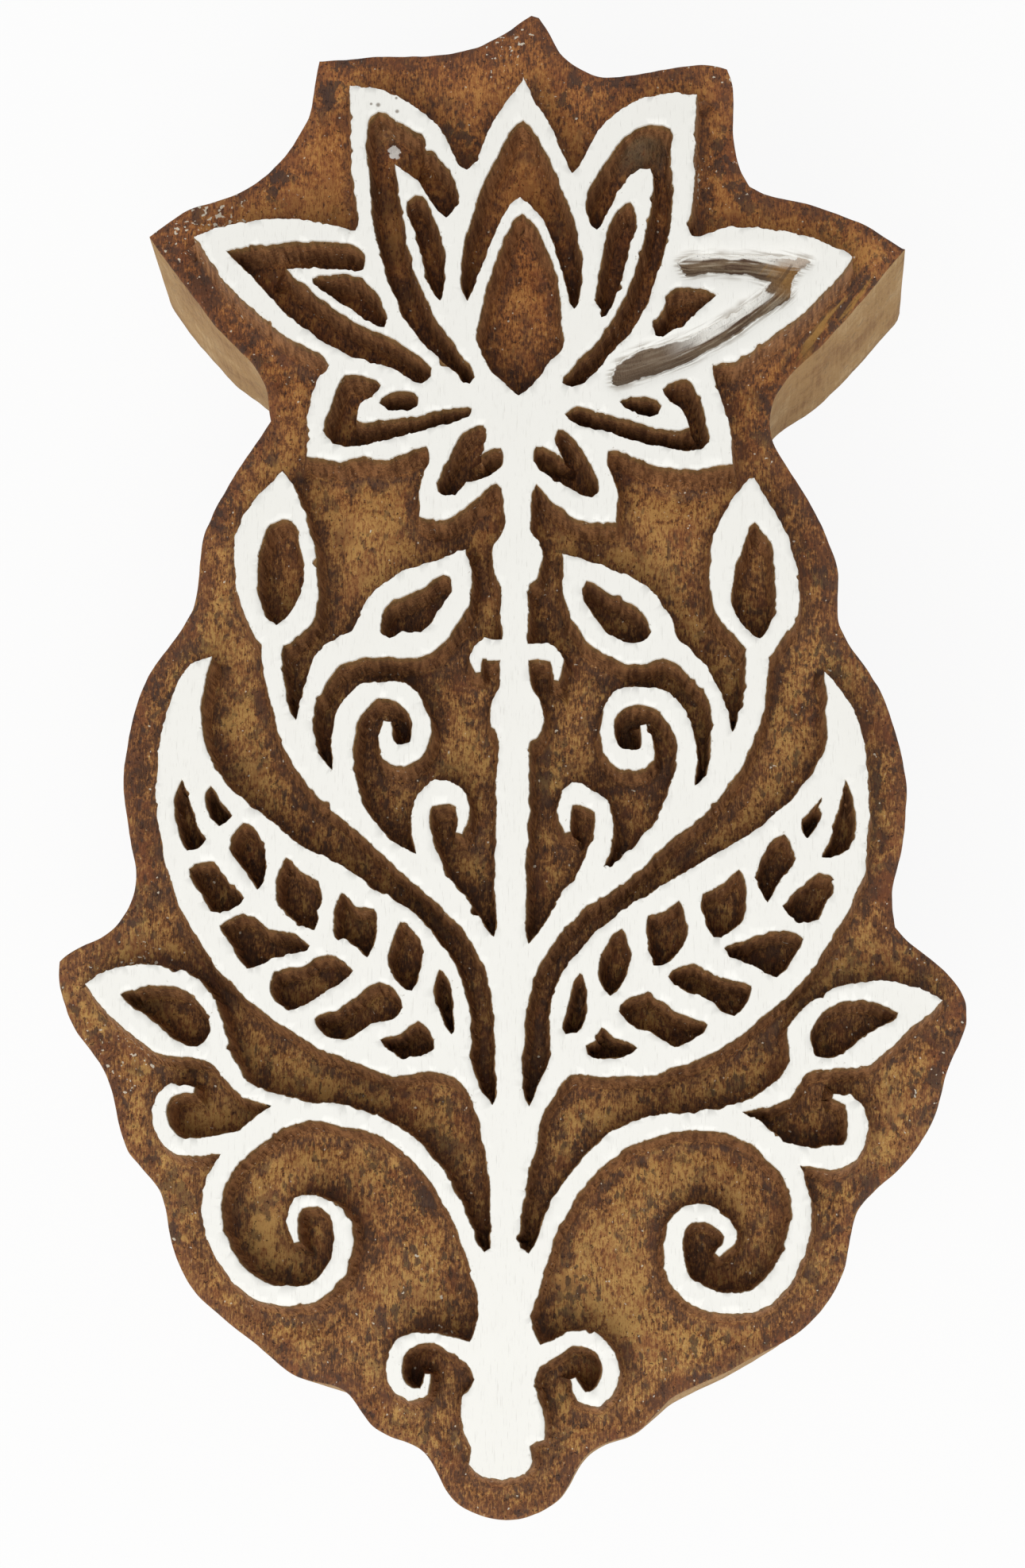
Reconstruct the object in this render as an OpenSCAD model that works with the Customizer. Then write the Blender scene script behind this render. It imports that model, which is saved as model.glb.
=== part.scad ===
// Wooden textile printing block: a carved lotus plant on a shaped block, with a screwed-on grip.
// It lies on its grip with the printing face up. X is across, Y runs towards the flower, Z is up.

/* [Printing block] */
// Length of the block, from the foot of the plant to the point over the flower
block_l = 150; // [130:1:190]
// Width of the block over the two side buds
block_w = 87.5; // [78:0.5:110]
// Thickness of the wood under the cut-away ground
body_t = 20; // [18:0.5:30]
// Height of the printing lines above the ground
relief_h = 5.5; // [3:0.25:8]
// Depth of the shallow, paint-filled groove in one wing petal
groove_depth = 1.5; // [0.5:0.25:2.5]

/* [White face coat] */
// Thickness of the white coat on the printing lines
coat_t = 0.3; // [0.2:0.05:0.6]

/* [Grip] */
// Length of the grip along the block
grip_l = 84; // [60:1:92]
// Width of the grip
grip_w = 30; // [24:1:32]
// Height of the grip below the back of the block
grip_h = 28; // [22:0.5:34]
// Radius of the corners of the grip seen from below
grip_corner_r = 8; // [3:0.5:11]
// Height of the finger hollow along each side
hollow_h = 19; // [14:0.5:20]
// Depth of the finger hollow
hollow_depth = 4; // [2:0.5:4.5]
// Depth of the housing that takes the grip in the back of the block
housing_depth = 4; // [2:0.5:5]
// Gap between the grip and the walls of its housing
housing_gap = 0.15; // [0.1:0.05:0.4]

/* [Screws] */
// Distance of each screw from its end of the grip
screw_inset = 18; // [12:1:22]
// Diameter of the screw shank
shank_d = 4.2; // [3.5:0.1:5]
// Diameter of the screw head
head_d = 8.4; // [7:0.1:10]
// Depth of the screw head below the resting face of the grip
head_sink = 0.6; // [0.3:0.1:2]
// Length of the screw in the block, past the housing
screw_bite = 10; // [6:0.5:11]
// Length of the tapered screw point
point_l = 4; // [2:0.5:5]
// Diameter of the blunt end of the screw point
point_d = 1; // [0.5:0.1:2]
// Width of the screwdriver slot
slot_w = 1.2; // [0.8:0.1:1.6]
// Depth of the screwdriver slot
slot_depth = 1; // [0.5:0.1:1.4]
// Gap around the shank in the grip
shank_gap = 0.2; // [0.1:0.05:0.5]

/* [Hidden] */
// Length and width at which the outline and the plant are drawn
drawn_l = 150;
drawn_w = 87.5;
// Distance that a straight piece may stray from its curve
sag = 0.05;
// Narrow clefts under twice this width close up
cleft = 0.08;
// Overlap of solids that grow together in one piece of wood
weld = 0.5;
// Length by which a cut runs past a face
past = 1;
// Marks a point at which an outline turns sharply
tip = 1;
// Facets of round faces
$fn = 64;

back_z = grip_h;
ground_z = back_z + body_t;
face_z = ground_z + relief_h;
seat_z = back_z + housing_depth;
head_h = (head_d - shank_d) / 2;
screw_end_z = seat_z + screw_bite;
screw_y = grip_l / 2 - screw_inset;
hollow_r = (hollow_h * hollow_h / 4 + hollow_depth * hollow_depth) / 2 / hollow_depth;

// Edge of the block, clockwise from the point over the flower
block_edge = [
    [1.4, 75], [5, 70.1], [8.6, 68.2], [13, 68.7], [19, 69.6], [21.2, 69], [21.7, 67.5], [21.7, 62],
    [23.4, 56.5], [29, 54.7], [35, 52.3], [39, 49.8, tip], [36, 46.4], [30, 39.4], [26, 35], [25.2, 32],
    [25.4, 29.8, tip], [29, 24], [31.7, 17], [31.7, 11.4], [36, 4.5], [38.2, -5], [36.7, -15],
    [37, -18.7], [41.5, -22.4], [43.7, -27.3], [42, -31.8], [40.9, -35.3], [36.5, -42.3], [33, -45.7],
    [31.8, -51], [29.7, -55.1], [20.6, -61.2], [15.4, -62.9], [12, -66.7], [7.4, -69], [4.8, -73.2],
    [0, -75], [-4, -73.6], [-7.8, -68.5], [-12.6, -66.4], [-15, -63.1], [-20.3, -61.2], [-24, -58.5],
    [-28.7, -54.9], [-32, -49], [-33.2, -44.2], [-36.5, -40.5], [-38.7, -33], [-42.7, -27.3],
    [-43.6, -22.2], [-38.5, -19.1], [-36.4, -14.3], [-37.9, -3], [-35.9, 6], [-31.4, 13], [-30.6, 20],
    [-27.8, 26.6], [-24.2, 32.2, tip], [-24.7, 35.6], [-30, 42.2], [-36.9, 51.5, tip], [-33.5, 54.2],
    [-27.2, 56.4], [-22.3, 61.5], [-20.1, 70.2, tip], [-13, 70.6], [-6.5, 70.9], [-1, 73.1]
];

// Outer edge of the lotus flower, clockwise from the middle petal
lotus_edge = [
    [0.85, 66.1, tip], [2, 63.5], [4.2, 59.9], [5.1, 57.5], [5.75, 56], [6.7, 57.5], [8.2, 60.3],
    [10.8, 62.8], [14, 64.2], [18.1, 64.1, tip], [17.9, 60], [17.8, 56], [17.7, 52.3], [17.1, 50.7],
    [17.6, 49.4], [20, 50], [24.5, 50.2], [29, 49.2], [32, 48.1], [33.3, 47.1], [32.2, 45.3], [28, 41],
    [25, 38.6], [21.3, 36.2], [19.6, 36], [19.6, 35], [20.3, 33], [21.3, 29.5], [21.5, 26, tip],
    [18, 25.4], [14, 25.8], [10.8, 27.1], [9.4, 27.3], [9.3, 26.2], [10.1, 24.4], [10.2, 20.1, tip],
    [8, 20], [5.2, 21.1], [3.3, 22.7], [2.4, 24], [1.9, 22.5, tip], [-0.8, 22.5, tip], [-1, 23.6],
    [-1.5, 24.1], [-3.2, 22.7], [-5, 21.2], [-7.4, 20.2], [-9, 20.8, tip], [-9, 24.5], [-8.1, 26.2],
    [-8.4, 27.9], [-10.5, 27.2], [-12, 26.5], [-14.5, 26.7], [-17, 26.3], [-20.1, 26.9, tip],
    [-20.1, 31], [-19.1, 35], [-18.1, 36.2], [-18.8, 37.2], [-22, 38.8], [-25.5, 41.7], [-29, 45.3],
    [-31.7, 49.5, tip], [-28.5, 50.8], [-24.5, 51.3], [-20, 51.2], [-17, 50.4], [-15.7, 50.1],
    [-15.5, 51.6], [-16.2, 56], [-16.3, 61], [-16.5, 65.3, tip], [-13, 64.8], [-9.5, 62.7], [-6.8, 60],
    [-5.6, 57.2], [-4.7, 56.4], [-3.9, 57.2], [-2.8, 60.3], [-0.9, 63.5]
];

// Hollows cut into the lotus: the middle petal, then the petals of each side from the top down
lotus_cells = [
    [[0.85, 61.6], [2.1, 60], [3.8, 56.5], [5.9, 51.3], [6.6, 47.5], [6.6, 44], [6, 41.9], [5.4, 43],
        [4.9, 45.7], [4.1, 48.3], [1.6, 52.8], [0.6, 53.6], [-0.6, 52.5], [-2.6, 48], [-3.9, 44.3],
        [-4.5, 42.7], [-5, 44], [-5.1, 47], [-3.9, 52], [-2.9, 55.4], [-1.2, 58.8], [-0.3, 60.6]],
    [[0.8, 51.7], [2.2, 50.3], [3.3, 48], [4.4, 45], [4.75, 41.5], [4.9, 37.9, tip], [3.4, 36.2],
        [1.8, 34], [0.6, 33], [-0.6, 34.1], [-3.1, 37.5], [-3.5, 39], [-3, 42.5], [-1.9, 46.2],
        [-1, 49]],
    [[-13.6, 62.5], [-14.6, 61], [-14.4, 56.5], [-13.9, 50.4], [-12.5, 45.5], [-10.9, 41.5], [-8.5, 38],
        [-6.2, 36.1], [-4.2, 34.2], [-3.7, 34.9], [-5, 37], [-8.8, 43], [-10, 46.3], [-11, 50.7],
        [-11.9, 57, tip], [-9.5, 55.4], [-8, 53], [-6.7, 51.4], [-5.5, 53.7], [-6.6, 56.5],
        [-8.3, 58.6], [-9.2, 60.2], [-11.5, 61.4]],
    [[-9.8, 53.8], [-10.6, 53.1], [-9.8, 50], [-8.9, 46.8], [-8.1, 44], [-7.2, 42.8], [-6.9, 45],
        [-6.7, 47.8], [-7.5, 50.4]],
    [[-28.4, 48, tip], [-26, 48.6], [-21, 48.9], [-16.5, 48.7], [-14.8, 47.6], [-14.9, 46.1],
        [-18, 46.3], [-22.6, 46.2, tip], [-19.8, 43.6], [-15, 40.2], [-11.2, 38.4], [-8, 35],
        [-8.9, 34.3], [-11.5, 35.8], [-15.5, 37], [-19, 38.9], [-23, 42.1], [-26.5, 46.2]],
    [[-19.8, 45.1], [-18, 45.4], [-14.9, 45.2], [-13.7, 43.7], [-12.5, 41.3], [-12.7, 40.1],
        [-14.6, 41.1], [-17.3, 42.8]],
    [[-16.5, 35.2], [-14.8, 35.1], [-13, 34.1], [-13.9, 33], [-15, 32.3], [-15.3, 30.6], [-12.5, 30.4],
        [-9, 31], [-6, 31.7], [-4, 31.7], [-4.3, 30.9], [-7, 30.1], [-10.5, 29], [-13.5, 28.3],
        [-17.5, 28.3], [-18.5, 29.5], [-17.5, 32.6]],
    [[-13, 32.3], [-11.3, 33.6], [-9.2, 32.9], [-9.4, 32], [-12.2, 31.8]],
    [[-2.8, 30], [-2.5, 28.8], [-3, 27, tip], [-1.1, 27.7], [-0.9, 26.4], [-2.3, 24.8], [-4.5, 24.3],
        [-5.5, 22.9], [-7.1, 23.3], [-6.3, 26.5], [-5.2, 28.7]],
    [[7.1, 53], [8.2, 50.1], [9.2, 52], [10.6, 54.4], [12.4, 56.4], [13.5, 56.4], [13.8, 54.5],
        [13.2, 50.5], [12.2, 46.4], [10.2, 41.3], [8.6, 38.9], [6.2, 36.3], [4.9, 34.3], [5.8, 33.9],
        [9.3, 37], [11.5, 39.3], [13.2, 42.5], [14.5, 46.5], [15.4, 50.5], [15.7, 54.3], [15.3, 57.5],
        [15.4, 60.5], [13.4, 61], [11, 59.7], [9.2, 57.3]],
    [[11.5, 52.9], [12.1, 51.5], [11.5, 48.5], [10.4, 44.2], [8.7, 41], [8.2, 43], [8.8, 47.3],
        [9.3, 50.4]],
    [[15.5, 43.6], [18.4, 43.9], [19.9, 43.2], [18.4, 41.9], [16.6, 40.2], [14, 39.1], [13.7, 40],
        [14.9, 41.8]],
    [[14.7, 33.6], [17, 34.6], [18, 33.3], [18.9, 30], [19.2, 28.2], [18.4, 27.5], [15.5, 27.6],
        [11.8, 28.4], [8.5, 29.6], [6.3, 30.2], [5.2, 31.1], [6.3, 31.8], [8.5, 31.2], [12.5, 30.2],
        [16, 29.4], [17.3, 29.7], [16.6, 31.3]],
    [[10.5, 32.3], [12.2, 32.9], [14.5, 31.9], [14.2, 31.1], [11.2, 31.7]],
    [[4.5, 29.5], [6.1, 28.5], [7.6, 26.1], [8.3, 23.3], [7.8, 22.7], [6.6, 23], [4.4, 24.4],
        [2.1, 26.3], [2.3, 27.8], [5, 26.6, tip], [4.2, 28.6]]
];

// Shallow groove that the white coat half fills
wing_groove = [
    [16.1, 46.6], [17.2, 47.4], [21, 47.2], [25, 47.3], [29.2, 46.6], [27.6, 45], [27.3, 43],
    [24.5, 41.1], [21, 38.6], [17, 36.3], [12, 34.5], [9.7, 34.2], [9.6, 34.9], [12.3, 37.6],
    [16.2, 38.5], [20, 40.4], [23.5, 42.5], [25.3, 44.6, tip], [23, 45.3], [19.5, 45.6], [17, 45.3]
];

// Buds and leaves of each side: two upper buds, two inner leaves, two side buds
bud_edges = [
    [[-22.4, 25.4, tip], [-21.5, 24.4], [-20, 20.6], [-19.1, 17.8], [-18.7, 14], [-18.8, 11],
        [-20, 9.2], [-22.2, 7.8], [-23.9, 7.8], [-25.6, 10.4], [-26.6, 13], [-27.1, 16], [-26.9, 19],
        [-25.2, 22.6]],
    [[23.6, 24.6], [24.3, 23.4], [26.8, 19], [27.6, 15.8], [27.9, 13.3], [27.4, 10], [26, 8.1],
        [24.7, 6.5], [22.9, 7.2], [21.2, 9.1], [19.5, 11.8], [19.1, 15], [19.6, 19], [21.2, 22]],
    [[-4.4, 17.5, tip], [-3.9, 16], [-4, 12], [-5.6, 9.3], [-7.4, 7.1], [-10.5, 6.6], [-14, 6.7],
        [-16.4, 6], [-17.6, 7.4], [-15.7, 8.7], [-14.2, 12.2], [-10.6, 15.4], [-7.6, 16.3]],
    [[4.9, 17, tip], [7, 16.5], [12, 14.5], [14, 12.9], [15.6, 10.6], [16.3, 8.4], [17.2, 7.4],
        [16.3, 6], [14.7, 6.6], [12.8, 5.9], [11, 6], [9.3, 6.9], [7.5, 8], [6, 10], [5.1, 12.5]],
    [[-40.3, -25.2, tip], [-39, -24.2], [-33.5, -23.3], [-31, -23.8], [-27.4, -27.5], [-26.6, -30.3],
        [-25, -33.9], [-22.8, -35.3], [-20, -36], [-17.5, -36.9, tip], [-22.5, -36.8], [-25, -36],
        [-28.2, -32.7], [-32.7, -32], [-36, -29.8], [-38.5, -27.6]],
    [[41, -26.6, tip], [40, -27.7], [38, -29.2], [34.2, -32.8], [28.2, -33.7], [26.6, -36],
        [22.8, -37.2], [17.8, -37.4, tip], [22.5, -36.1], [26.6, -32.4], [26.4, -29.2], [28.8, -26.6],
        [31.5, -25.2], [34.7, -24.7], [39, -25.5]]
];

// Hollows of the buds and leaves, in the same order
bud_cells = [
    [[-22.4, 20.5], [-21.5, 20.3], [-20.6, 17.3], [-20.1, 14.2], [-21.2, 11.6], [-22.7, 9.9],
        [-24.2, 11.6], [-24.7, 15], [-24.3, 18.2], [-23.5, 20]],
    [[23.6, 20.1], [24.9, 18.3], [25.5, 15.5], [25.5, 12.5], [24.8, 9.5], [24, 8.6], [22.8, 9.5],
        [21.7, 11], [21.4, 14], [22.3, 17.2]],
    [[-6, 14.7], [-5.8, 13.2], [-7.3, 11.2], [-8.7, 9.2], [-10.5, 9.3], [-11.7, 8.6], [-12.6, 10],
        [-11.6, 12], [-9.5, 13.1]],
    [[7.3, 14.3], [6.9, 13.5], [8.3, 10.4], [10, 8.6], [12.6, 8.2], [13.5, 9.2], [12.4, 11.2],
        [8.6, 13.5]],
    [[-36.8, -26.2], [-34.3, -25.5], [-31.2, -25.6], [-29.3, -27], [-28.2, -29.8], [-29.4, -31.1],
        [-32.3, -29.8], [-34.5, -28]],
    [[36.8, -27.8], [34.8, -26.8], [31.8, -26.8], [29.3, -28.3], [28.5, -30.3], [29, -31.9],
        [31.5, -31.7], [33.7, -29.8]]
];

// Knobbly foot of the stem
foot_edge = [
    [-1.4, -50], [1.4, -50], [3.5, -52.5], [3.2, -54], [2.3, -56.3], [2.7, -57.8], [3.6, -60],
    [2.8, -62.2], [3.3, -64], [3.8, -66.2], [3.7, -67.7, tip], [2.4, -68.3], [2.6, -69.6], [1.9, -70.8],
    [0.5, -71.2], [-2, -71.1], [-3.3, -70], [-3.1, -68.4], [-3.7, -67.4], [-4.1, -65.8], [-4, -63.8],
    [-2.9, -62.2], [-3.8, -60.2], [-3.1, -58], [-2.5, -56.3], [-2.8, -54], [-3.4, -52.4]
];

// Two large crescent leaves
leaf_edges = [
    [[-28.9, 6.8, tip], [-29.6, 4], [-29.9, 1.5], [-29.5, -1.5], [-28.4, -4.2], [-23, -9.3],
        [-20, -11.7], [-16.5, -13.3], [-13, -15.9], [-9.5, -17.8], [-7, -20.4], [-4.9, -23.4],
        [-3.7, -27], [-3.4, -30.5], [-3.5, -32.6], [-1.4, -36.6, tip], [0.5, -38, tip],
        [-2.5, -38.5, tip], [-5, -34], [-6, -33.6], [-11.2, -33.9], [-14, -32.8], [-17, -31.7],
        [-22.5, -28.5], [-28, -23.3], [-31.7, -17], [-33.7, -10], [-33.9, -2], [-32.2, 4.2],
        [-31, 6.1]],
    [[30.2, 5.2, tip], [31, 4.5], [32.8, 1.9], [34.3, -4.8], [34.3, -9], [33.9, -13.8], [30.6, -21],
        [26.2, -26.6], [24.4, -28], [22.8, -29.5], [17, -32.8], [13, -33.9], [9, -34.1], [6, -33.8],
        [5.1, -34.7], [2.9, -39, tip], [0.5, -38, tip], [2.1, -36.7, tip], [3, -34.4], [4.1, -32],
        [3.8, -28.5], [4.4, -25.3], [6, -22.6], [8.3, -20.1], [14.5, -15.6], [18, -13.6], [24.3, -9.6],
        [27.2, -7], [29.2, -4.2], [30.3, -1], [30.5, 2.5]]
];

// Hollows between the veins of the crescent leaves
leaf_cells = [
    [[-31.5, -5.4], [-30.9, -6.8], [-29.9, -9.9], [-29.1, -11.2], [-30.8, -12.3], [-31.6, -10.8],
        [-32, -7]],
    [[-28.7, -6], [-28, -7.4], [-26.6, -8.9], [-27.8, -9.9], [-28.8, -8.7], [-29.2, -7]],
    [[-25.5, -9.6], [-24, -11], [-23.2, -13], [-24, -16.1], [-25.2, -14.2], [-26.8, -12.1],
        [-26.3, -10.5]],
    [[-30.6, -14.1], [-28.2, -13.4], [-26.9, -15.3], [-25.3, -16.9], [-28.4, -18.1], [-29.4, -16.5]],
    [[-21.3, -13], [-19.9, -14.6], [-18.2, -15.3], [-18, -18], [-18.5, -20], [-20.4, -18.9],
        [-21.9, -17.6], [-22, -14.3]],
    [[-27.5, -19.6], [-24.2, -18.7], [-22.9, -20], [-20.3, -20.4], [-18.9, -21.5], [-22.5, -22.7],
        [-24.8, -23.6], [-26.3, -21.5]],
    [[-15.9, -16.5], [-14.5, -17.7], [-12.8, -17.9], [-12.7, -20.5], [-13.4, -22.6], [-15, -21.2],
        [-16.2, -21], [-16.5, -18]],
    [[-22.2, -24], [-19.8, -23.6], [-17.2, -22.3], [-14.8, -23.9], [-17.3, -25.8], [-20.8, -27.7],
        [-22.6, -25.6]],
    [[-18.3, -28.5], [-16.2, -27.7], [-13.8, -26], [-12.2, -25], [-10, -27.4], [-10.8, -28.4],
        [-12.5, -28.8], [-15.2, -30.4], [-17.8, -29.6]],
    [[-10.3, -19.2], [-8, -22], [-8.4, -24], [-9.1, -25.8], [-11.3, -23.4], [-10.9, -20.6]],
    [[-6.5, -23.8], [-5.3, -26.3], [-5.3, -29.9], [-6.4, -28], [-7, -25.5]],
    [[-12, -30.5], [-9.9, -29.9], [-8.5, -28.7], [-7, -31.3], [-8.3, -32.1], [-11, -31.5]],
    [[32.1, -5.4], [32.8, -7.8], [32.4, -12.1], [29.8, -12.9], [30.8, -10.6], [31.6, -7.8]],
    [[29.8, -7.1], [29.6, -9.3], [28.4, -11.1], [27.9, -9.2], [29, -8.2]],
    [[26.2, -10.7], [27.2, -13], [25.6, -15.3], [24.6, -17.2], [23.7, -14.4], [24.6, -11.9]],
    [[29.5, -14.4], [31.1, -15], [30, -17.3], [29.4, -18.9], [27.4, -19], [26, -17.6], [27.3, -16.3]],
    [[21.9, -14.1], [22.5, -16.5], [22.2, -19], [19.5, -20.6], [18.6, -18.8], [18.5, -16.5],
        [20.4, -15.6]],
    [[20.5, -21.7], [22.5, -20.9], [25, -20], [27.9, -20.8], [26.8, -22.7], [25.4, -24.4], [23, -23.1],
        [21, -22.5]],
    [[16.2, -17.1], [16.8, -18.8], [16.8, -21.2], [13.8, -23.3], [13.2, -21], [13.3, -18.6],
        [15, -18.1]],
    [[15.2, -24.4], [17.6, -23.2], [20.2, -24.6], [23, -25.3], [21.4, -28.1], [18.4, -26.2],
        [15.7, -25.2]],
    [[10.5, -27.7], [13.2, -26], [15.7, -27.8], [18.8, -29], [15.6, -31], [13.6, -29.8], [11.5, -28.8]],
    [[10.8, -19.8], [11.6, -22], [11, -24.6], [9.7, -26.2], [8.7, -24.6], [8.9, -22.2]],
    [[6.8, -24.1], [7.5, -26.8], [6.5, -29.7], [5.5, -29.9], [5.8, -27], [6.2, -25]],
    [[8.9, -29.3], [10, -30.2], [12.2, -31.2], [9.8, -32.2], [7.6, -31.8], [7.4, -31], [8.4, -30.5]]
];

// Middle line of the stem with its width, from the flower to the foot
stem_line = [
    [0.5, 25, 3], [0.55, 21.5, 2.8], [0.5, 19.5, 2.7], [0.55, 17.6, 5.1], [0.5, 15, 4.6],
    [0.3, 13.2, 2.6], [0.4, 11, 2.9], [0.4, 9, 2.5], [0.4, 6, 2.8], [0.45, 4, 3], [0.5, 2.2, 5],
    [0.65, -0.4, 5], [0.4, -1.4, 3.2], [0.3, -5, 3.3], [0.3, -9, 3.2], [0.15, -13.5, 3],
    [0.2, -17, 3.1], [0.2, -20, 2.8], [0.2, -23.5, 5], [0.35, -26, 3.7], [0.2, -28, 3.2],
    [0.1, -33, 2.7], [0.3, -36, 2.8], [0.3, -38.4, 5.6], [0.2, -42.5, 4], [0.1, -45, 3.4],
    [-0.1, -48.5, 2.7], [0, -51, 3]
];

// Stalks of the upper buds and the arms that carry the inner leaves
stalk_lines = [
    [[-0.8, -23.5, 2.6], [-3.4, -19.5, 2], [-5.6, -16.8, 2.6], [-8.2, -14.4, 2.6], [-11.5, -12.1, 1.7],
        [-13.6, -10.1, 1.9], [-17.6, -5.9, 2.8], [-19.7, -3.3, 2.6], [-21.3, -0.6, 2.2],
        [-22.3, 2.2, 1.6], [-22.9, 5, 1.8], [-23.1, 9, 2.2]],
    [[1.2, -24, 2.6], [3.4, -20.9, 1.8], [4.9, -18.8, 2.3], [6.3, -16.8, 2.8], [8.6, -15.4, 2.7],
        [10.8, -14.3, 2.2], [14.2, -10.8, 2.4], [15.9, -9.2, 2.9], [18.1, -7.4, 2.6], [20, -5.4, 2.4],
        [21.7, -3.1, 2.2], [22.6, -0.6, 2.2], [23.4, 2, 2.4], [23.7, 4.8, 2.2], [23.8, 8, 2.2]],
    [[-19.3, -3.8, 2.2], [-19.9, -0.3, 1.8], [-19.5, 2.2, 1.5], [-18.7, 4.4, 2.1], [-17.3, 6.9, 2.6],
        [-14.5, 8.6, 2]],
    [[19.2, -6, 1.2], [20, -3, 1.9], [20.3, -1, 2.1], [19.7, 2.6, 1.5], [18.3, 5, 2], [16.6, 6.9, 2.2],
        [14.3, 8.2, 2]]
];

// Curls: hooks on the stem, large and small curls above the leaves, hooks and curls of the root
curl_lines = [
    [[0.4, 7, 1.6], [-2.4, 7.6, 2.2], [-3.3, 6.6, 1.2], [-3.1, 5.2, 0.5]],
    [[0.4, 6.8, 1.5], [3.5, 7.3, 1.8], [4.5, 6.4, 1.4], [4.5, 5.2, 1], [4.4, 4.4, 0.5]],
    [[-13.8, -10, 1.4], [-15.6, -6.6, 2.4], [-16.1, -3, 2], [-16, -0.8, 2.2], [-15.3, 1.6, 2.4],
        [-13.8, 3.2, 2.2], [-12, 3.4, 1.8], [-10.2, 3, 2.2], [-8.9, 1.4, 1.7], [-8.4, -0.6, 1.8],
        [-8.9, -2.2, 1.8], [-10.2, -3, 2.2], [-11.5, -2.6, 2], [-12, -1.2, 1.3], [-11.8, 0.4, 0.8]],
    [[14.3, -10.3, 1.5], [16.2, -7, 2.4], [17, -4, 2], [17, -1.8, 1.8], [16.1, 0.6, 2.2],
        [14.6, 2.4, 2.2], [12.4, 2.9, 2], [10.4, 2.4, 2], [9.4, 0.8, 1.4], [9.4, -1.2, 1.4],
        [10.2, -3, 1.8], [11.8, -3.5, 2.3], [13.1, -2.9, 1.9], [13.2, -1.6, 1.2], [12.8, 0, 0.6]],
    [[-6, -15.8, 1.2], [-7.9, -12.4, 2], [-8.5, -9.3, 1.9], [-8.2, -7.5, 1.9], [-6.9, -6.6, 2.5],
        [-5.3, -6.8, 2], [-4.4, -7.9, 1.4], [-4.4, -9.4, 1.2], [-4.8, -10.6, 0.7]],
    [[6.5, -15.8, 1.2], [8.4, -12.8, 2.3], [9.1, -10, 1.8], [8.8, -8, 1.8], [7.6, -7.2, 1.9],
        [6.2, -6.7, 2.3], [5.3, -7.7, 1.5], [5.2, -9.2, 1.2], [5.6, -10.5, 0.6]],
    [[-24, -39.6, 1.4], [-26, -40.3, 2.1], [-28.2, -40.6, 1.7], [-30.3, -40.8, 1.8], [-32, -39.8, 1.6],
        [-32.8, -38, 1.4], [-32.7, -36.2, 1.4], [-31.6, -35.2, 1.2], [-29.6, -35.3, 0.5]],
    [[23.6, -40, 1.4], [25.8, -41, 2], [28, -41.4, 1.8], [30.3, -41.6, 2.3], [32.2, -40.9, 1.9],
        [32.9, -39, 1.9], [32.8, -37.2, 1.8], [32, -36, 1.2], [30.6, -35.7, 0.4]],
    [[-1.5, -60.3, 2.8], [-4.5, -59.2, 1.6], [-6.5, -58.4, 1], [-8.3, -58.4, 1.2], [-9.8, -59.2, 1.5],
        [-10.4, -60.8, 1.5], [-10.1, -62.5, 1.5], [-8.8, -63.6, 1.3], [-7.5, -63.3, 1],
        [-7.2, -61.7, 0.5]],
    [[1.5, -60.5, 2.8], [4.3, -59.5, 1.5], [6, -58.4, 1.5], [7.6, -58.3, 1.6], [9, -59.2, 1.5],
        [9.8, -60.8, 1.7], [9.6, -62.6, 1.8], [8.4, -63.9, 1.6], [7.1, -63.7, 1.1], [6.3, -62, 0.6]]
];

// The two large scrolls of the root, from the stem to the inner end
scroll_lines = [
    [[-1.5, -53, 3], [-3.4, -49.8, 1.4], [-4.7, -46.4, 1.7], [-6.4, -43.4, 1.8], [-8.6, -40.9, 1.7],
        [-11.5, -38.9, 1.7], [-15, -37.8, 2], [-18.8, -37.3, 1.9], [-21.8, -38, 2.4],
        [-23.9, -39.5, 2.5], [-26, -41.7, 2], [-27.3, -43.8, 1.9], [-27.7, -46.5, 1.9],
        [-27.3, -48.9, 1.8], [-25.9, -51.5, 1.8], [-23.8, -53.6, 1.9], [-21, -54.6, 1.8],
        [-18.2, -54.3, 1.8], [-16.2, -52.7, 1.9], [-15.3, -50.5, 1.8], [-15.3, -48, 1.8],
        [-16, -46.7, 1.3], [-17.7, -45.7, 1.2], [-19.5, -46, 1.3], [-20.1, -47.6, 1.2],
        [-19.6, -49.6, 0.6]],
    [[1.5, -53.5, 3], [3.3, -50.3, 1.7], [4.4, -47.3, 1.7], [6, -44.4, 1.9], [8.3, -41.8, 1.9],
        [11.2, -39.5, 2.2], [14, -38.5, 2], [17.5, -38, 1.9], [20.5, -38, 2.2], [22.5, -38.7, 2.6],
        [24.4, -40, 2.4], [26.3, -42.2, 2.2], [27.4, -44.7, 1.8], [27.6, -47.3, 2.1], [27, -50, 2.1],
        [25.6, -52.7, 2.2], [23.3, -54.7, 2.1], [20.6, -55.1, 2], [17.9, -54.4, 2.1], [16, -52.6, 2],
        [15.7, -50.3, 2], [15.9, -48, 1.8], [17, -46.8, 1.7], [18.6, -46.8, 1.8], [20.3, -47.7, 1.5],
        [20.9, -49, 1.2], [19.7, -50.6, 0.5]]
];

// Direction from one point towards the next
function way(from, to) = (to - from) / norm(to - from);

// Angle between two directions
function bend(a, b) = acos(min(1, a * b / norm(a) / norm(b)));

// Direction of a smooth curve at a point, leaning to the nearer neighbour
function heading(before, here, after) =
    let (back = norm(here - before), fore = norm(after - here))
    (way(before, here) * fore + way(here, after) * back) / (back + fore);

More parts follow.
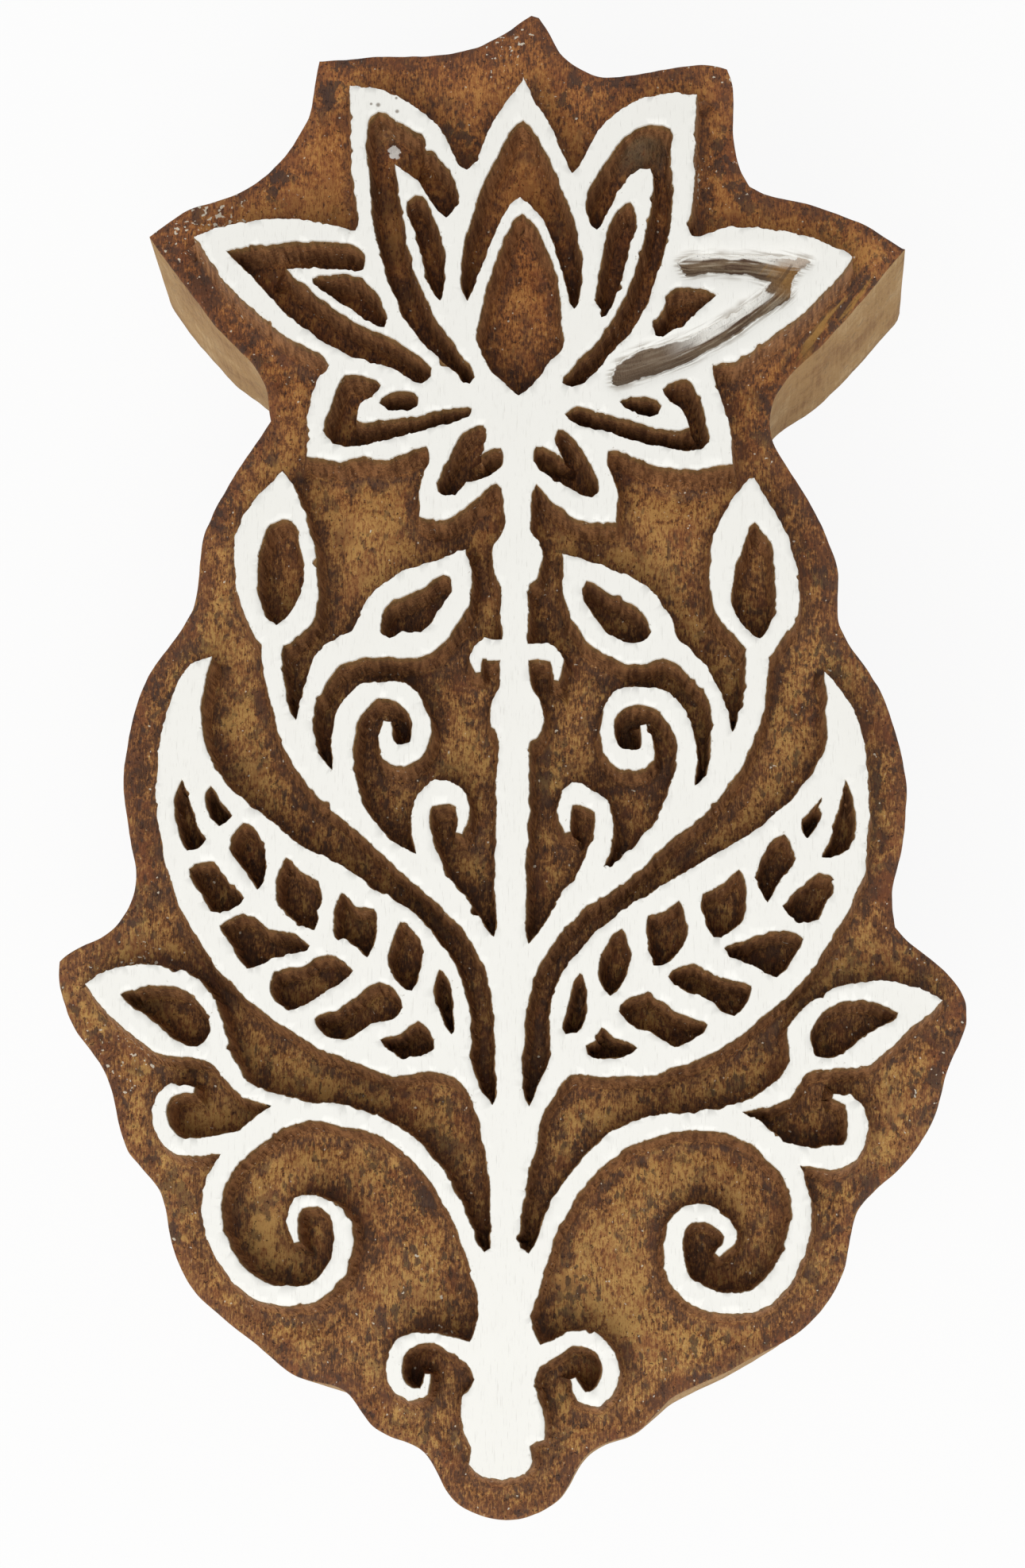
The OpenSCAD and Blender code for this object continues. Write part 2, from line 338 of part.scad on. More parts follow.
// Curve from one point to the next, without its last point, in pieces that stray by the sag of a flat arc
function span(from, to, start, finish) =
    let (
        reach = norm(to - from),
        turn = bend(start, to - from) + bend(to - from, finish),
        count = max(1, round(sqrt(reach * turn * PI / 180 / 8 / sag)))
    )
    [for (k = [0 : count - 1])
        let (t = k / count, u = 1 - t)
        u * u * (1 + 2 * t) * from + t * t * (1 + 2 * u) * to
            + t * u * reach * (u * start - t * finish)];

// Place of a drawn point on a block of the chosen size
function spot(p) = [p[0] * block_w / drawn_w, p[1] * block_l / drawn_l];

// Point of a closed outline, counted round and round
function turn_point(points, i) = spot(points[(i + len(points)) % len(points)]);

// Whether a point of a closed outline is a sharp corner
function is_tip(points, i) = len(points[i % len(points)]) == 3;

// Smooth closed outline through its points, sharp at its tips
function closed_curve(points) = [
    for (i = [0 : len(points) - 1])
        let (
            a = turn_point(points, i - 1),
            b = turn_point(points, i),
            c = turn_point(points, i + 1),
            d = turn_point(points, i + 2)
        )
        each span(b, c, is_tip(points, i) ? way(b, c) : heading(a, b, c),
            is_tip(points, i + 1) ? way(b, c) : heading(b, c, d))
];

// Smooth open line through its points, with the width carried along
function open_curve(drawn) =
    let (
        points = [for (p = drawn) [each spot(p), p[2]]],
        last = len(points) - 1
    )
    [
        for (i = [0 : last - 1])
            let (b = points[i], c = points[i + 1])
            each span(b, c, i == 0 ? way(b, c) : heading(points[i - 1], b, c),
                i + 1 == last ? way(b, c) : heading(b, c, points[i + 2])),
        points[last]
    ];

// Edge point of a line, half its width to one side
function flank(line, i, side) =
    let (
        along = line[min(i + 1, len(line) - 1)] - line[max(i - 1, 0)],
        reach = norm([along[0], along[1]])
    )
    [line[i][0], line[i][1]] + side * line[i][2] / 2 / reach * [-along[1], along[0]];

module blob(points) {
    polygon(closed_curve(points));
}

module ribbon(points) {
    line = open_curve(points);
    last = len(line) - 1;
    polygon([
        for (i = [0 : last]) flank(line, i, 1),
        for (i = [last : -1 : 0]) flank(line, i, -1)
    ]);
}

// The printing lines of the whole plant
module plant() {
    offset(delta = -cleft) offset(delta = cleft) difference() {
        union() {
            for (edge = concat([lotus_edge, foot_edge], bud_edges, leaf_edges)) blob(edge);
            for (line = concat([stem_line], stalk_lines, curl_lines, scroll_lines)) ribbon(line);
        }
        for (cell = concat(lotus_cells, bud_cells, leaf_cells, [wing_groove])) blob(cell);
    }
}

// Plan of the grip, grown by a gap for its housing
module grip_plan(gap = 0) {
    corner = grip_corner_r + gap;
    reach_x = grip_w / 2 - grip_corner_r;
    reach_y = grip_l / 2 - grip_corner_r;
    square([2 * reach_x, 2 * (reach_y + corner)], center = true);
    square([2 * (reach_x + corner), 2 * reach_y], center = true);
    for (x = [-reach_x, reach_x], y = [-reach_y, reach_y]) translate([x, y]) circle(corner);
}

module at_screws() {
    for (y = [-screw_y, screw_y]) translate([0, y, 0]) children();
}

// Screw without its slot, or its hole with a gap around the shank
module screw_form(gap = 0) {
    translate([0, 0, head_sink]) cylinder(d1 = head_d, d2 = shank_d, h = head_h);
    translate([0, 0, head_sink]) cylinder(d = shank_d + 2 * gap, h = screw_end_z - point_l - head_sink);
    translate([0, 0, screw_end_z - point_l]) cylinder(d1 = shank_d, d2 = point_d, h = point_l);
}

module carved_block() {
    color("saddlebrown") difference() {
        union() {
            translate([0, 0, back_z]) linear_extrude(body_t) blob(block_edge);
            translate([0, 0, ground_z - weld]) linear_extrude(relief_h + weld) plant();
            translate([0, 0, ground_z - weld]) linear_extrude(relief_h - groove_depth + weld)
                offset(delta = weld) blob(wing_groove);
        }
        translate([0, 0, back_z - past]) linear_extrude(housing_depth + past) grip_plan(housing_gap);
        at_screws() screw_form();
    }
}

module white_face_coat() {
    color("ivory") translate([0, 0, face_z]) linear_extrude(coat_t) plant();
}

module grip_handle() {
    color("peru") difference() {
        linear_extrude(seat_z) grip_plan();
        for (side = [-1, 1])
            translate([side * (grip_w / 2 + hollow_r - hollow_depth), 0, grip_h / 2])
                rotate([90, 0, 0]) cylinder(r = hollow_r, h = grip_l + 2 * past, center = true);
        at_screws() {
            screw_form(shank_gap);
            translate([0, 0, -past]) cylinder(d = head_d, h = head_sink + past);
        }
    }
}

module handle_screws() {
    color("silver") at_screws() difference() {
        screw_form();
        translate([0, 0, head_sink]) cube([head_d, slot_w, 2 * slot_depth], center = true);
    }
}

carved_block();
white_face_coat();
grip_handle();
handle_screws();
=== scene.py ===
# %% [markdown]
# # A hand-cut block for printing cloth
#
# A printing block is one board of hard wood. The printer's lines are left standing, the
# ground between them is cut away, and a coat of white shows the lines up. A grip is screwed
# to the back. The CAD model gives every size and place. This lesson adds what the hand and
# years of use give: nicked lines, gouged ground, worn edges, oiled and stained wood.

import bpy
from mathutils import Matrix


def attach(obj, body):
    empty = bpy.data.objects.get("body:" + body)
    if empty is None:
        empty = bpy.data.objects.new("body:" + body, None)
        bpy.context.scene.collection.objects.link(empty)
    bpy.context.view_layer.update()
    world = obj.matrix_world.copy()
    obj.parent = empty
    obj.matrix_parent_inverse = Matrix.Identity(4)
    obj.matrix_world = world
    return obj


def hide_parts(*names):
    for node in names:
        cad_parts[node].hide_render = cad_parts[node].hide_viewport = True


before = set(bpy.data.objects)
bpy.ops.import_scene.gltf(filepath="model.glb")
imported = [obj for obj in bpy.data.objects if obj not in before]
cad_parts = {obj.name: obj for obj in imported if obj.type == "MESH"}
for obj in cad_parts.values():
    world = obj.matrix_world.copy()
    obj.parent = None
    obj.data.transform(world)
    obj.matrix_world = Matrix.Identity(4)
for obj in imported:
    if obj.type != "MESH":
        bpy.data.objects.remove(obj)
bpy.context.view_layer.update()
print("nodes:", sorted(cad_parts))

# %% [markdown]
# ## Measures
#
# Blender works in metres and a carver in millimetres, so points are kept in millimetres and
# only the finished meshes are scaled. The levels of the block are read from the CAD nodes,
# so nothing here repeats a size that the CAD already holds.

# %% Tools, units and levels
import math

import bpy
import numpy as np
from mathutils import Matrix, Vector
from mathutils.bvhtree import BVHTree
from mathutils.geometry import delaunay_2d_cdt
from mathutils.kdtree import KDTree

MM = 0.001
SAME = 0.004  # mm: levels closer than this count as one
dice = np.random.default_rng(369)


def cad_mesh(name):
    """Corners in millimetres and triangles of a CAD node, with doubled corners merged."""
    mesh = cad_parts[name].data
    mesh.calc_loop_triangles()
    corners = np.empty(len(mesh.vertices) * 3, np.float32)
    mesh.vertices.foreach_get("co", corners)
    faces = np.empty(len(mesh.loop_triangles) * 3, np.int32)
    mesh.loop_triangles.foreach_get("vertices", faces)
    corners = (corners.reshape(-1, 3) / MM).astype(float).round(3)
    corners, merged = np.unique(corners, axis=0, return_inverse=True)
    return corners, merged.reshape(-1)[faces].reshape(-1, 3)


block_corners, block_faces = cad_mesh("carved_block")
coat_corners, coat_faces = cad_mesh("white_face_coat")
grip_corners, grip_faces = cad_mesh("grip_handle")
back_z, face_z = block_corners[:, 2].min(), block_corners[:, 2].max()
coat_top_z, seat_z = coat_corners[:, 2].max(), grip_corners[:, 2].max()
top_end = block_corners[:, 1] > block_corners[:, 1].max() - SAME
ground_z = block_corners[top_end, 2].max()
print("levels in mm: back", back_z, "seat", seat_z, "ground", ground_z, "face", face_z)

# %% [markdown]
# ## Outlines from the CAD
#
# Every carved line starts as a drawing on the wood. Here the drawing is read back from the
# CAD faces that lie at one level: an edge that only one of those faces uses is an outline.
# The edges are chained into rings that keep the wood on their left.

# %% Read the rings at a level


def rings_at(corners, faces, level):
    """Closed outlines of the faces at a level, longest first, with the wood on their left."""
    flat = np.all(np.abs(corners[faces][:, :, 2] - level) < SAME, axis=1)
    steps = {}
    for a, b, c in faces[flat].tolist():
        steps.update({(a, b): 1, (b, c): 1, (c, a): 1})
    follow = {a: b for a, b in steps if (b, a) not in steps}
    rings = []
    while follow:
        start, here = follow.popitem()
        ring = [start]
        while here != start:
            ring.append(here)
            here = follow.pop(here)
        rings.append(corners[ring, :2])
    return sorted(rings, key=len, reverse=True)


plant_rings = rings_at(coat_corners, coat_faces, coat_top_z)
back_rings = [ring[::-1] for ring in rings_at(block_corners, block_faces, back_z)]
print(len(plant_rings), "rings of the plant,", len(back_rings), "rings on the back")

# %% [markdown]
# ## The hand of the carver
#
# A knife and a small chisel follow the drawing in short cuts, so the lines waver a little
# and have nicks. A ring is laid out again in short even steps, rounded off so that no CAD
# facet shows, and then moved sideways by smooth random rows of several lengths.

# %% Helpers for rings
KEEN = 0.5  # sine of the turn from which a corner stays sharp


def even_steps(ring, step):
    """The ring again, in even steps of about the given length."""
    closed = np.vstack([ring, ring[:1]])
    along = np.concatenate([[0], np.cumsum(np.linalg.norm(np.diff(closed, axis=0), axis=1))])
    count = max(12, round(along[-1] / step))
    stops = np.arange(count) * along[-1] / count
    return np.column_stack([np.interp(stops, along, closed[:, k]) for k in range(2)])


def eased(row, passes, held=()):
    """A closed row of values or points eased towards their neighbours, apart from held ones."""
    for _ in range(passes):
        kept = row[held] if len(held) else None
        row = row / 2 + (np.roll(row, 1, axis=0) + np.roll(row, -1, axis=0)) / 4
        if len(held):
            row[held] = kept
    return row


def turns(ring, reach):
    """Sine of the turn at each point of a ring, seen over some points to each side."""
    ahead = np.roll(ring, -reach, axis=0) - ring
    behind = ring - np.roll(ring, reach, axis=0)
    turn = np.abs(ahead[:, 0] * behind[:, 1] - ahead[:, 1] * behind[:, 0])
    return turn / np.maximum(np.linalg.norm(ahead, axis=1) * np.linalg.norm(behind, axis=1), 1e-9)


def keen_steps(ring, step, passes):
    """The ring in even eased steps that still pass through its sharp corners."""
    sharp = np.flatnonzero(turns(ring, 1) > KEEN)
    ring_steps = even_steps(ring, step)
    held = [int(np.linalg.norm(ring_steps - ring[k], axis=1).argmin()) for k in sharp]
    ring_steps[held] = ring[sharp]
    return eased(ring_steps, passes, held)


def left_of(ring):
    """Unit directions to the left of the way round a ring, where the wood is."""
    ahead = np.roll(ring, -1, axis=0) - np.roll(ring, 1, axis=0)
    ahead /= np.maximum(np.linalg.norm(ahead, axis=1), 1e-9)[:, None]
    return np.column_stack([-ahead[:, 1], ahead[:, 0]])


def waver(count, passes):
    """A closed smooth random row of unit strength; more passes give longer waves."""
    row = eased(dice.standard_normal(count), min(passes, count))
    return row / max(row.std(), 1e-6)


def calm(ring):
    """1 along straight stretches of a ring, and towards 0 where it turns sharply."""
    return eased(1 / (1 + 6 * turns(ring, 2) ** 2), 3)


def hump(points, x, y, reach):
    """1 at a place, falling away smoothly within a reach."""
    return np.exp(-(np.linalg.norm(points - (x, y), axis=1) / reach) ** 2)


print("rings can be stepped, eased and shaken")

# %% [markdown]
# ## Torn fibres
#
# The grain runs along the stem. A cut along the grain is clean, and a cut across it tears
# short fibres, so the ends of the cells look like a fine comb. The tear is a random row over
# x, the same for all points in one fibre, and it only moves points along y. In a few places
# the knife slipped round a hard spot and left a small nub of wood on the line.

# %% Cut the printing lines
CUT_STEP = 0.2
CUT_EASE = 4
FIBRE = 0.17
TORN_REACH = 100.0
NUBS = [(-8.5, 58.8, 0.6), (-18.3, -18.1, 0.45), (-15.7, -21.3, 0.4),
        (29.7, -8.0, 0.4), (31.0, -15.3, 0.4)]
NUB_REACH = 0.45


def torn(ring, seed):
    """How far the fibres at each point of a ring are torn along the grain."""
    row = np.random.default_rng(seed).standard_normal(int(2 * TORN_REACH / FIBRE))
    row = np.clip(row, -1.5, 2.2)
    fibres = np.arange(len(row)) * FIBRE - TORN_REACH
    return np.interp(ring[:, 0], fibres, row)


def hand_cut(number, ring):
    """A drawn ring as the knife leaves it."""
    ring = keen_steps(ring, CUT_STEP, CUT_EASE)
    count = len(ring)
    across = np.abs(left_of(ring)[:, 1])
    sideways = 0.015 * waver(count, 0) + 0.035 * waver(count, 3) + 0.05 * waver(count, 14)
    nicks = 0.2 * np.maximum(waver(count, 4) - 1.6, 0) - 0.1 * np.maximum(waver(count, 1) - 2.0, 0)
    ring = ring + left_of(ring) * (calm(ring) * (sideways + nicks))[:, None]
    for x, y, amount in NUBS:
        ring = ring - left_of(ring) * (amount * hump(ring, x, y, NUB_REACH))[:, None]
    patchy = np.clip(0.5 + 0.5 * waver(count, 30), 0.1, 1.6)
    ring[:, 1] += 0.045 * torn(ring, 900 + number) * across ** 1.5 * patchy * calm(ring)
    return ring


line_rings = [hand_cut(*pair) for pair in enumerate(plant_rings)]
line_owner = np.repeat(np.arange(len(line_rings)), [len(ring) for ring in line_rings])
line_count = len(line_owner)
print(line_count, "points along the printing lines")

# %% [markdown]
# ## The edge of the board
#
# The board is sawn to a scalloped outline that follows the plant. It is cut coarser than the
# lines, and its top edge is a little rubbed by handling. Where the saw ran wide of the drawing
# the edge swells, but the board stays inside the CAD box.

# %% Cut the edge of the board
EDGE_STEP = 0.4
EDGE_EASE = 6
SWELLS = [
    (-36.6, -10.3, 0.5), (37.4, -11.0, 0.43), (-19.0, -61.6, 0.3), (-30.2, 21.0, 0.2),
    (-20.8, 65.0, -0.3), (40.4, -21.9, -0.25), (40.0, -38.0, 0.4), (16.5, -63.7, 0.45),
    (9.2, -67.8, -0.25), (-5.0, -72.5, 0.35), (-37.2, -16.5, -0.3), (-22.5, -60.3, 0.2),
    (13.0, -66.2, 0.3), (23.6, -59.5, -0.3), (43.5, -25.8, 0.2), (37.8, -41.0, 0.25),
    (31.3, -52.4, 0.2), (-30.7, -52.4, 0.25), (-37.9, -5.5, 0.2), (38.2, -5.8, 0.2),
    (31.8, 16.4, 0.2)]
SWELL_REACH = 3.0
low_corner, high_corner = block_corners.min(axis=0)[:2], block_corners.max(axis=0)[:2]
edge_ring = keen_steps(back_rings[0], EDGE_STEP, EDGE_EASE)
edge_count = len(edge_ring)
edge_waver = -0.02 + 0.012 * waver(edge_count, 1) + 0.035 * waver(edge_count, 30)
for x, y, amount in SWELLS:
    edge_waver -= amount * hump(edge_ring, x, y, SWELL_REACH)
edge_ring = edge_ring + left_of(edge_ring) * edge_waver[:, None]
edge_ring = np.clip(edge_ring, low_corner, high_corner)
edge_round = np.clip(0.26 + 0.07 * waver(edge_count, 25) + 0.05 * waver(edge_count, 3), 0.1, 0.5)
edge_inward = eased(left_of(edge_ring), 1)
ground_ring = edge_ring + edge_inward * edge_round[:, None]
print(edge_count, "points along the edge of the board")

# %% [markdown]
# ## How far is it to the nearest line?
#
# The depth of the ground and half of its colours depend on the distance to the nearest
# printing line and to the edge of the board. A k-d tree answers that quickly. The direction
# of the nearest cut says whether a spot lies on the ground or on a line.

# %% Distances on the face


class Outline:
    """Points along rings, with the ways to their wood, in a tree that is quick to search."""

    def __init__(self, rings, inward=None):
        self.points = np.vstack(rings)
        self.inward = np.vstack([left_of(ring) for ring in rings]) if inward is None else inward
        self.tree = KDTree(len(self.points))
        for index, (x, y) in enumerate(self.points):
            self.tree.insert((x, y, 0), index)
        self.tree.balance()

    def nearest(self, spots):
        """Index of, and distance to, the point nearest to each spot."""
        found = [self.tree.find((x, y, 0)) for x, y in spots]
        return np.array([hit[1] for hit in found]), np.array([hit[2] for hit in found])

    def side(self, spots):
        """True where a spot lies on the wood side of its nearest point, and its distance."""
        index, distance = self.nearest(spots)
        ways = spots - self.points[index]
        return np.einsum("ij,ij->i", ways, self.inward[index]) > 0, distance


lines, edge = Outline(line_rings), Outline([ground_ring], edge_inward)
print("trees for", line_count, "and", edge_count, "points")

# %% [markdown]
# ## Depth of the ground
#
# A carver stabs steeply down beside a line, so the wall drops almost at once and is hollow
# at its foot. Away from the lines the ground is cleared with a gouge and stays a little
# higher, with soft flutes that follow the outlines. At the top of two petal cells the carver
# stopped short, which leaves a shelf. One groove on the right wing petal is only scratched
# in, as a dish: the CAD block tells how deep each cell is.

# %% Depth of each cell
WALL_GAPS = [0.0, 0.05, 0.15, 0.28, 0.48, 0.85, 1.4]
WALL_DROPS = [0.005, 0.06, 0.38, 0.78, 0.95, 1.0, 1.02]
PROBE_GAP, PROBE_RISE, PROBE_STRIDE = 0.35, 5, 4
block_shape = BVHTree.FromPolygons(block_corners.tolist(), block_faces.tolist())


def cad_floor(ring):
    """Level of the CAD ground just beside a ring."""
    beside = (ring - left_of(ring) * PROBE_GAP)[::PROBE_STRIDE]
    hits = [block_shape.ray_cast((x, y, face_z + PROBE_RISE), (0, 0, -1))[0] for x, y in beside]
    return np.median([hit.z for hit in hits if hit])


cell_floor = np.array([cad_floor(ring) for ring in plant_rings])
shallow = cell_floor > ground_z + 1
print("shallow cells:", np.flatnonzero(shallow), cell_floor[shallow])

# %% Height of the carved face
LUMPS, LUMP_SHIFT = 61, 500
SHELVES = [(12.2, 60.2, 2.4, 0.55), (-13.2, 61.6, 1.3, 0.4)]


def lumps(spots, size, seed):
    """Smooth random heights from -1 to 1 in lumps of a size in x and y."""
    table = np.random.default_rng(seed).uniform(-1, 1, (LUMPS, LUMPS))
    at = spots / np.array(size) + LUMP_SHIFT
    cell = np.floor(at).astype(int)
    part = at - cell
    u, v = (part * part * (3 - 2 * part)).T
    i, j = cell.T % LUMPS
    i2, j2 = (i + 1) % LUMPS, (j + 1) % LUMPS
    low = table[i, j] * (1 - u) + table[i2, j] * u
    high = table[i, j2] * (1 - u) + table[i2, j2] * u
    return low * (1 - v) + high * v


def ramp(values, low, high):
    """0 below low, 1 above high, with a smooth rise between."""
    share = np.clip((values - low) / (high - low), 0, 1)
    return share * share * (3 - 2 * share)


def carved_height(spots, gap, rim, owner):
    """Level of the face where the nearest line and the board's edge are so far away."""
    depth = face_z - cell_floor[owner]
    drop = depth * np.interp(gap, WALL_GAPS, WALL_DROPS)
    for x, y, reach, share in SHELVES:
        drop *= 1 - share * hump(spots, x, y, reach)
    away = ramp(gap, 0.5, 2.0) * ramp(rim, 0.1, 1.0)
    flutes = np.sin(2 * math.pi * (gap / 1.9 + 0.4 * lumps(spots, (9, 9), 5)))
    gouged = 0.07 * flutes * (0.6 + 0.4 * lumps(spots, (4, 4), 6))
    gouged += 0.18 * lumps(spots, (3.0, 4.2), 7) + 0.09 * lumps(spots, (1.0, 1.5), 8)
    crown = 0.5 * ramp(gap, 0.9, 5.0) - 0.06 * (1 - ramp(rim, 0.0, 1.0))
    cleared = face_z - drop + away * gouged + crown * ramp(gap, 0.5, 1.5)
    scratched = face_z - 0.6 * depth * ramp(gap, -0.3, 1.2) - 0.03 * lumps(spots, (0.5, 0.5), 9)
    return np.where(shallow[owner], scratched, cleared)


print("ground about", round(float(face_z - ground_z), 2), "mm below the face")

# %% [markdown]
# ## Points of the carved face
#
# The face is one net of triangles. Rows of points run beside each line where the wall bends,
# so its steep drop is sharp, and loose points fill the open ground. A row is left out where
# it would come closer to another line, as in the narrow cells of the leaves.

# %% Lay out the points
GROUND_STEP = 0.55
ROW_STRIDE = [1, 1, 2, 2, 2, 3]
LINE_TOP = -0.12
OWN_SHARE = 0.85  # a row keeps the points that lie at least this share of its gap away
RIM_CLEAR, GRID_CLEAR = 0.25, 0.5


def loose_grid(points, step):
    """Points on a shaken grid over the box of other points."""
    xs, ys = (np.arange(row.min(), row.max(), step) for row in points.T)
    grid = np.stack(np.meshgrid(xs, ys, indexing="ij"), axis=-1).reshape(-1, 2)
    return grid + dice.uniform(-0.3, 0.3, grid.shape) * step


face_spots, face_gap = [lines.points, ground_ring], [np.zeros(line_count), None]
for gap, stride in [(LINE_TOP, 2), *zip(WALL_GAPS[1:], ROW_STRIDE)]:
    row = np.vstack([(ring - left_of(ring) * gap)[::stride] for ring in line_rings])
    on_top, distance = lines.side(row)
    inside, rim = edge.side(row)
    keep = (on_top == (gap < 0)) & inside & (rim > RIM_CLEAR)
    keep &= distance > abs(gap) * OWN_SHARE
    face_spots.append(row[keep])
    face_gap.append(np.full(keep.sum(), gap))
    print("row at", gap, "mm:", int(keep.sum()), "of", len(row), "points")

# %% Fill the open ground
grid = loose_grid(ground_ring, GROUND_STEP)
inside, distance = edge.side(grid)
grid = grid[inside & (distance > GRID_CLEAR)]
on_top, distance = lines.side(grid)
open_spot = ~on_top & (distance > WALL_GAPS[-1] * 1.25)
face_spots.append(grid[open_spot])
face_gap.append(distance[open_spot])
print(int(open_spot.sum()), "points on the open ground")

# %% [markdown]
# ## Net of the carved face
#
# A constrained Delaunay triangulation joins the points and keeps every outline as an edge.
# Where two wavering outlines cross by chance it adds a point, which then counts as lying on
# a line.

# %% Join the points


def net(points, rings):
    """Triangles on points, inside rings that are rows of point numbers; gives all points too."""
    edges = [(ring[k - 1], ring[k]) for ring in rings for k in range(len(ring))]
    made = delaunay_2d_cdt([Vector(p) for p in points], edges, [], 1, 1e-5)
    flat, faces, origin = made[0], made[2], made[3]
    added = [k for k, old in enumerate(origin) if not old]
    number = np.array([old[0] if old else 0 for old in origin])
    number[added] = len(points) + np.arange(len(added))
    if added:
        points = np.vstack([points, [flat[k][:] for k in added]])
    return points, number[np.array(faces)]


def ring_numbers(rings):
    """Point numbers of rings that are stored one after another."""
    ends = np.cumsum([0] + [len(ring) for ring in rings])
    return [np.arange(a, b) for a, b in zip(ends[:-1], ends[1:])]


def wood_net(points, rings):
    """A net with only the faces on the left of the rings, found by walking over the faces."""
    points, faces = net(points, rings)
    cut = {pair for ring in rings for pair in zip(ring.tolist(), np.roll(ring, -1).tolist())}
    sides = [((a, b), (b, c), (c, a)) for a, b, c in faces.tolist()]
    beside = {pair: face for face, pairs in enumerate(sides) for pair in pairs}
    todo = [beside[pair] for pair in cut if pair in beside]
    reached = set(todo)
    while todo:
        for pair in sides[todo.pop()]:
            face = beside.get(pair[::-1])
            if pair not in cut and face is not None and face not in reached:
                reached.add(face)
                todo.append(face)
    return points, faces[sorted(reached)]


loose = np.vstack(face_spots)
face_points, face_net = net(loose, ring_numbers([*line_rings, ground_ring]))
crossings = len(face_points) - len(loose)
print(len(face_points), "points,", len(face_net), "faces,", crossings, "crossings")

# %% Raise the net to its heights


def at_level(points, level):
    """Flat points set at one level, or each at its own."""
    return np.column_stack([points, np.broadcast_to(level, len(points))])


at_rim = slice(line_count, line_count + edge_count)
owner_index, gap_all = lines.nearest(face_points)
_, rim_all = edge.nearest(face_points)
rim_all[at_rim] = 0
start = 0
for spots, gap in zip(face_spots, face_gap):
    if gap is not None:
        gap_all[start:start + len(spots)] = gap
    start += len(spots)
gap_all[start:] = 0
owner = line_owner[owner_index]
face_level = carved_height(face_points, np.maximum(gap_all, 0), rim_all, owner)
face_level = np.where(gap_all < 0, face_z, np.minimum(face_level, face_z))
face_solid = at_level(face_points, face_level)
print("carved from", face_level.min().round(2), "to", face_level.max().round(2), "mm")

# %% [markdown]
# ## Side walls and back
#
# From the rubbed edge, rings of points go down the side wall to the back. The saw was not
# held quite square, so the walls lean a little, most under the wing petals and at the lower
# right, and at the lower end it smoothed the scallops towards the back. The back is a flat
# sawn face around the housing of the grip. The housing and its two pilot holes are taken
# over from the CAD, because nothing shows there that the CAD lacks.

# %% Rings down the side wall
BACK_CHAMFER = 0.25
WALL_ROWS = 12
LEANS = [(8.0, -68.0, -0.45), (-36.2, 51.5, -0.5), (-30.0, 41.5, 0.25)]
edge_along = np.arange(edge_count) * EDGE_STEP
top_level = face_level[at_rim]
edge_x, edge_y = edge_ring.T
lean = np.where(edge_x < 0, 0.95 * ramp(edge_y, 39, 53), 0.85 * ramp(edge_y, 34, 40))
lean -= 0.8 * np.exp(-((edge_y - np.where(edge_x < 0, 37, 35)) / 6) ** 2)
lean *= ramp(np.abs(edge_x), 21, 27)
smooth_way = np.sum((edge_ring - eased(edge_ring, 60)) * edge_inward, axis=1)
lean += (np.clip(0.7 * smooth_way, -0.6, 0.6) - 0.35) * ramp(-edge_y, 38, 58)
lean -= 0.9 * ramp(edge_x, 22, 34) * ramp(-edge_y, 12, 34)
for x, y, amount in LEANS:
    lean += amount * hump(edge_ring, x, y, SWELL_REACH)
lean = eased(lean, 12)
wall_rings = []
for angle in np.radians([30, 60, 90]):
    spot = ground_ring - edge_inward * (edge_round * math.sin(angle))[:, None]
    wall_rings.append(at_level(spot, top_level - edge_round * (1 - math.cos(angle))))
for share in np.linspace(0, 1, WALL_ROWS + 2)[1:]:
    level = wall_rings[2][:, 2] * (1 - share) + (back_z + BACK_CHAMFER) * share
    sawn = 0.03 * lumps(np.column_stack([edge_along, level]), (5, 2.5), 21) * min(1, 4 * share)
    spot = edge_ring + edge_inward * (sawn - lean * share)[:, None]
    wall_rings.append(at_level(np.clip(spot, low_corner, high_corner), level))
wall_rings.append(at_level(wall_rings[-1][:, :2] + edge_inward * BACK_CHAMFER, back_z))
print(len(wall_rings), "rings down the wall")

# %% Back and housing
BACK_STEP, BACK_CLEAR = 2.5, 2
housing = block_corners[block_faces]
in_housing = np.all(housing[:, :, 2] < ground_z - 1, axis=1)
in_housing &= np.any(housing[:, :, 2] > back_z + SAME, axis=1)
grip_reach = np.abs(grip_corners[:, :2]).max(axis=0) + 1
in_housing &= np.all(np.abs(housing[:, :, :2]) < grip_reach, axis=(1, 2))
back_edge = wall_rings[-1][:, :2]
mouth = back_rings[1]
grid = loose_grid(back_edge, BACK_STEP)
inside, distance = edge.side(grid)
clear = inside & (distance > BACK_CLEAR)
clear &= np.any(np.abs(grid) > grip_reach + 0.5, axis=1)
back_points = np.vstack([back_edge, mouth, grid[clear]])
back_points, back_net = wood_net(back_points, ring_numbers([back_edge, mouth]))
back_solid = at_level(back_points, back_z)
print(len(back_net), "faces on the back,", int(in_housing.sum()), "in the housing")

# %% [markdown]
# ## One closed board
#
# Face, wall, back and housing are joined where their points meet, so that the board is one
# closed mesh. Four values travel with the points for the wood finish: the distance to the
# nearest line, the distance to the edge, a mark on the side walls and the back, and a mark
# in the shallow groove.

# %% Join the parts of the board
FAR_GAP = 9.0


def tube(rings):
    """Points and faces of a wall that runs down through rings of one count."""
    count = len(rings[0])
    here = np.arange(count)
    after = (here + 1) % count
    band = np.vstack([np.column_stack([here, here + count, after + count]),
                      np.column_stack([here, after + count, after])])
    return np.vstack(rings), np.vstack([band + k * count for k in range(len(rings) - 1)])


def stacked(parts):
    """Several pairs of points and faces as one pair."""
    firsts = np.cumsum([0] + [len(points) for points, _ in parts])
    faces = [part[1] + first for part, first in zip(parts, firsts)]
    return np.vstack([points for points, _ in parts]), np.vstack(faces)


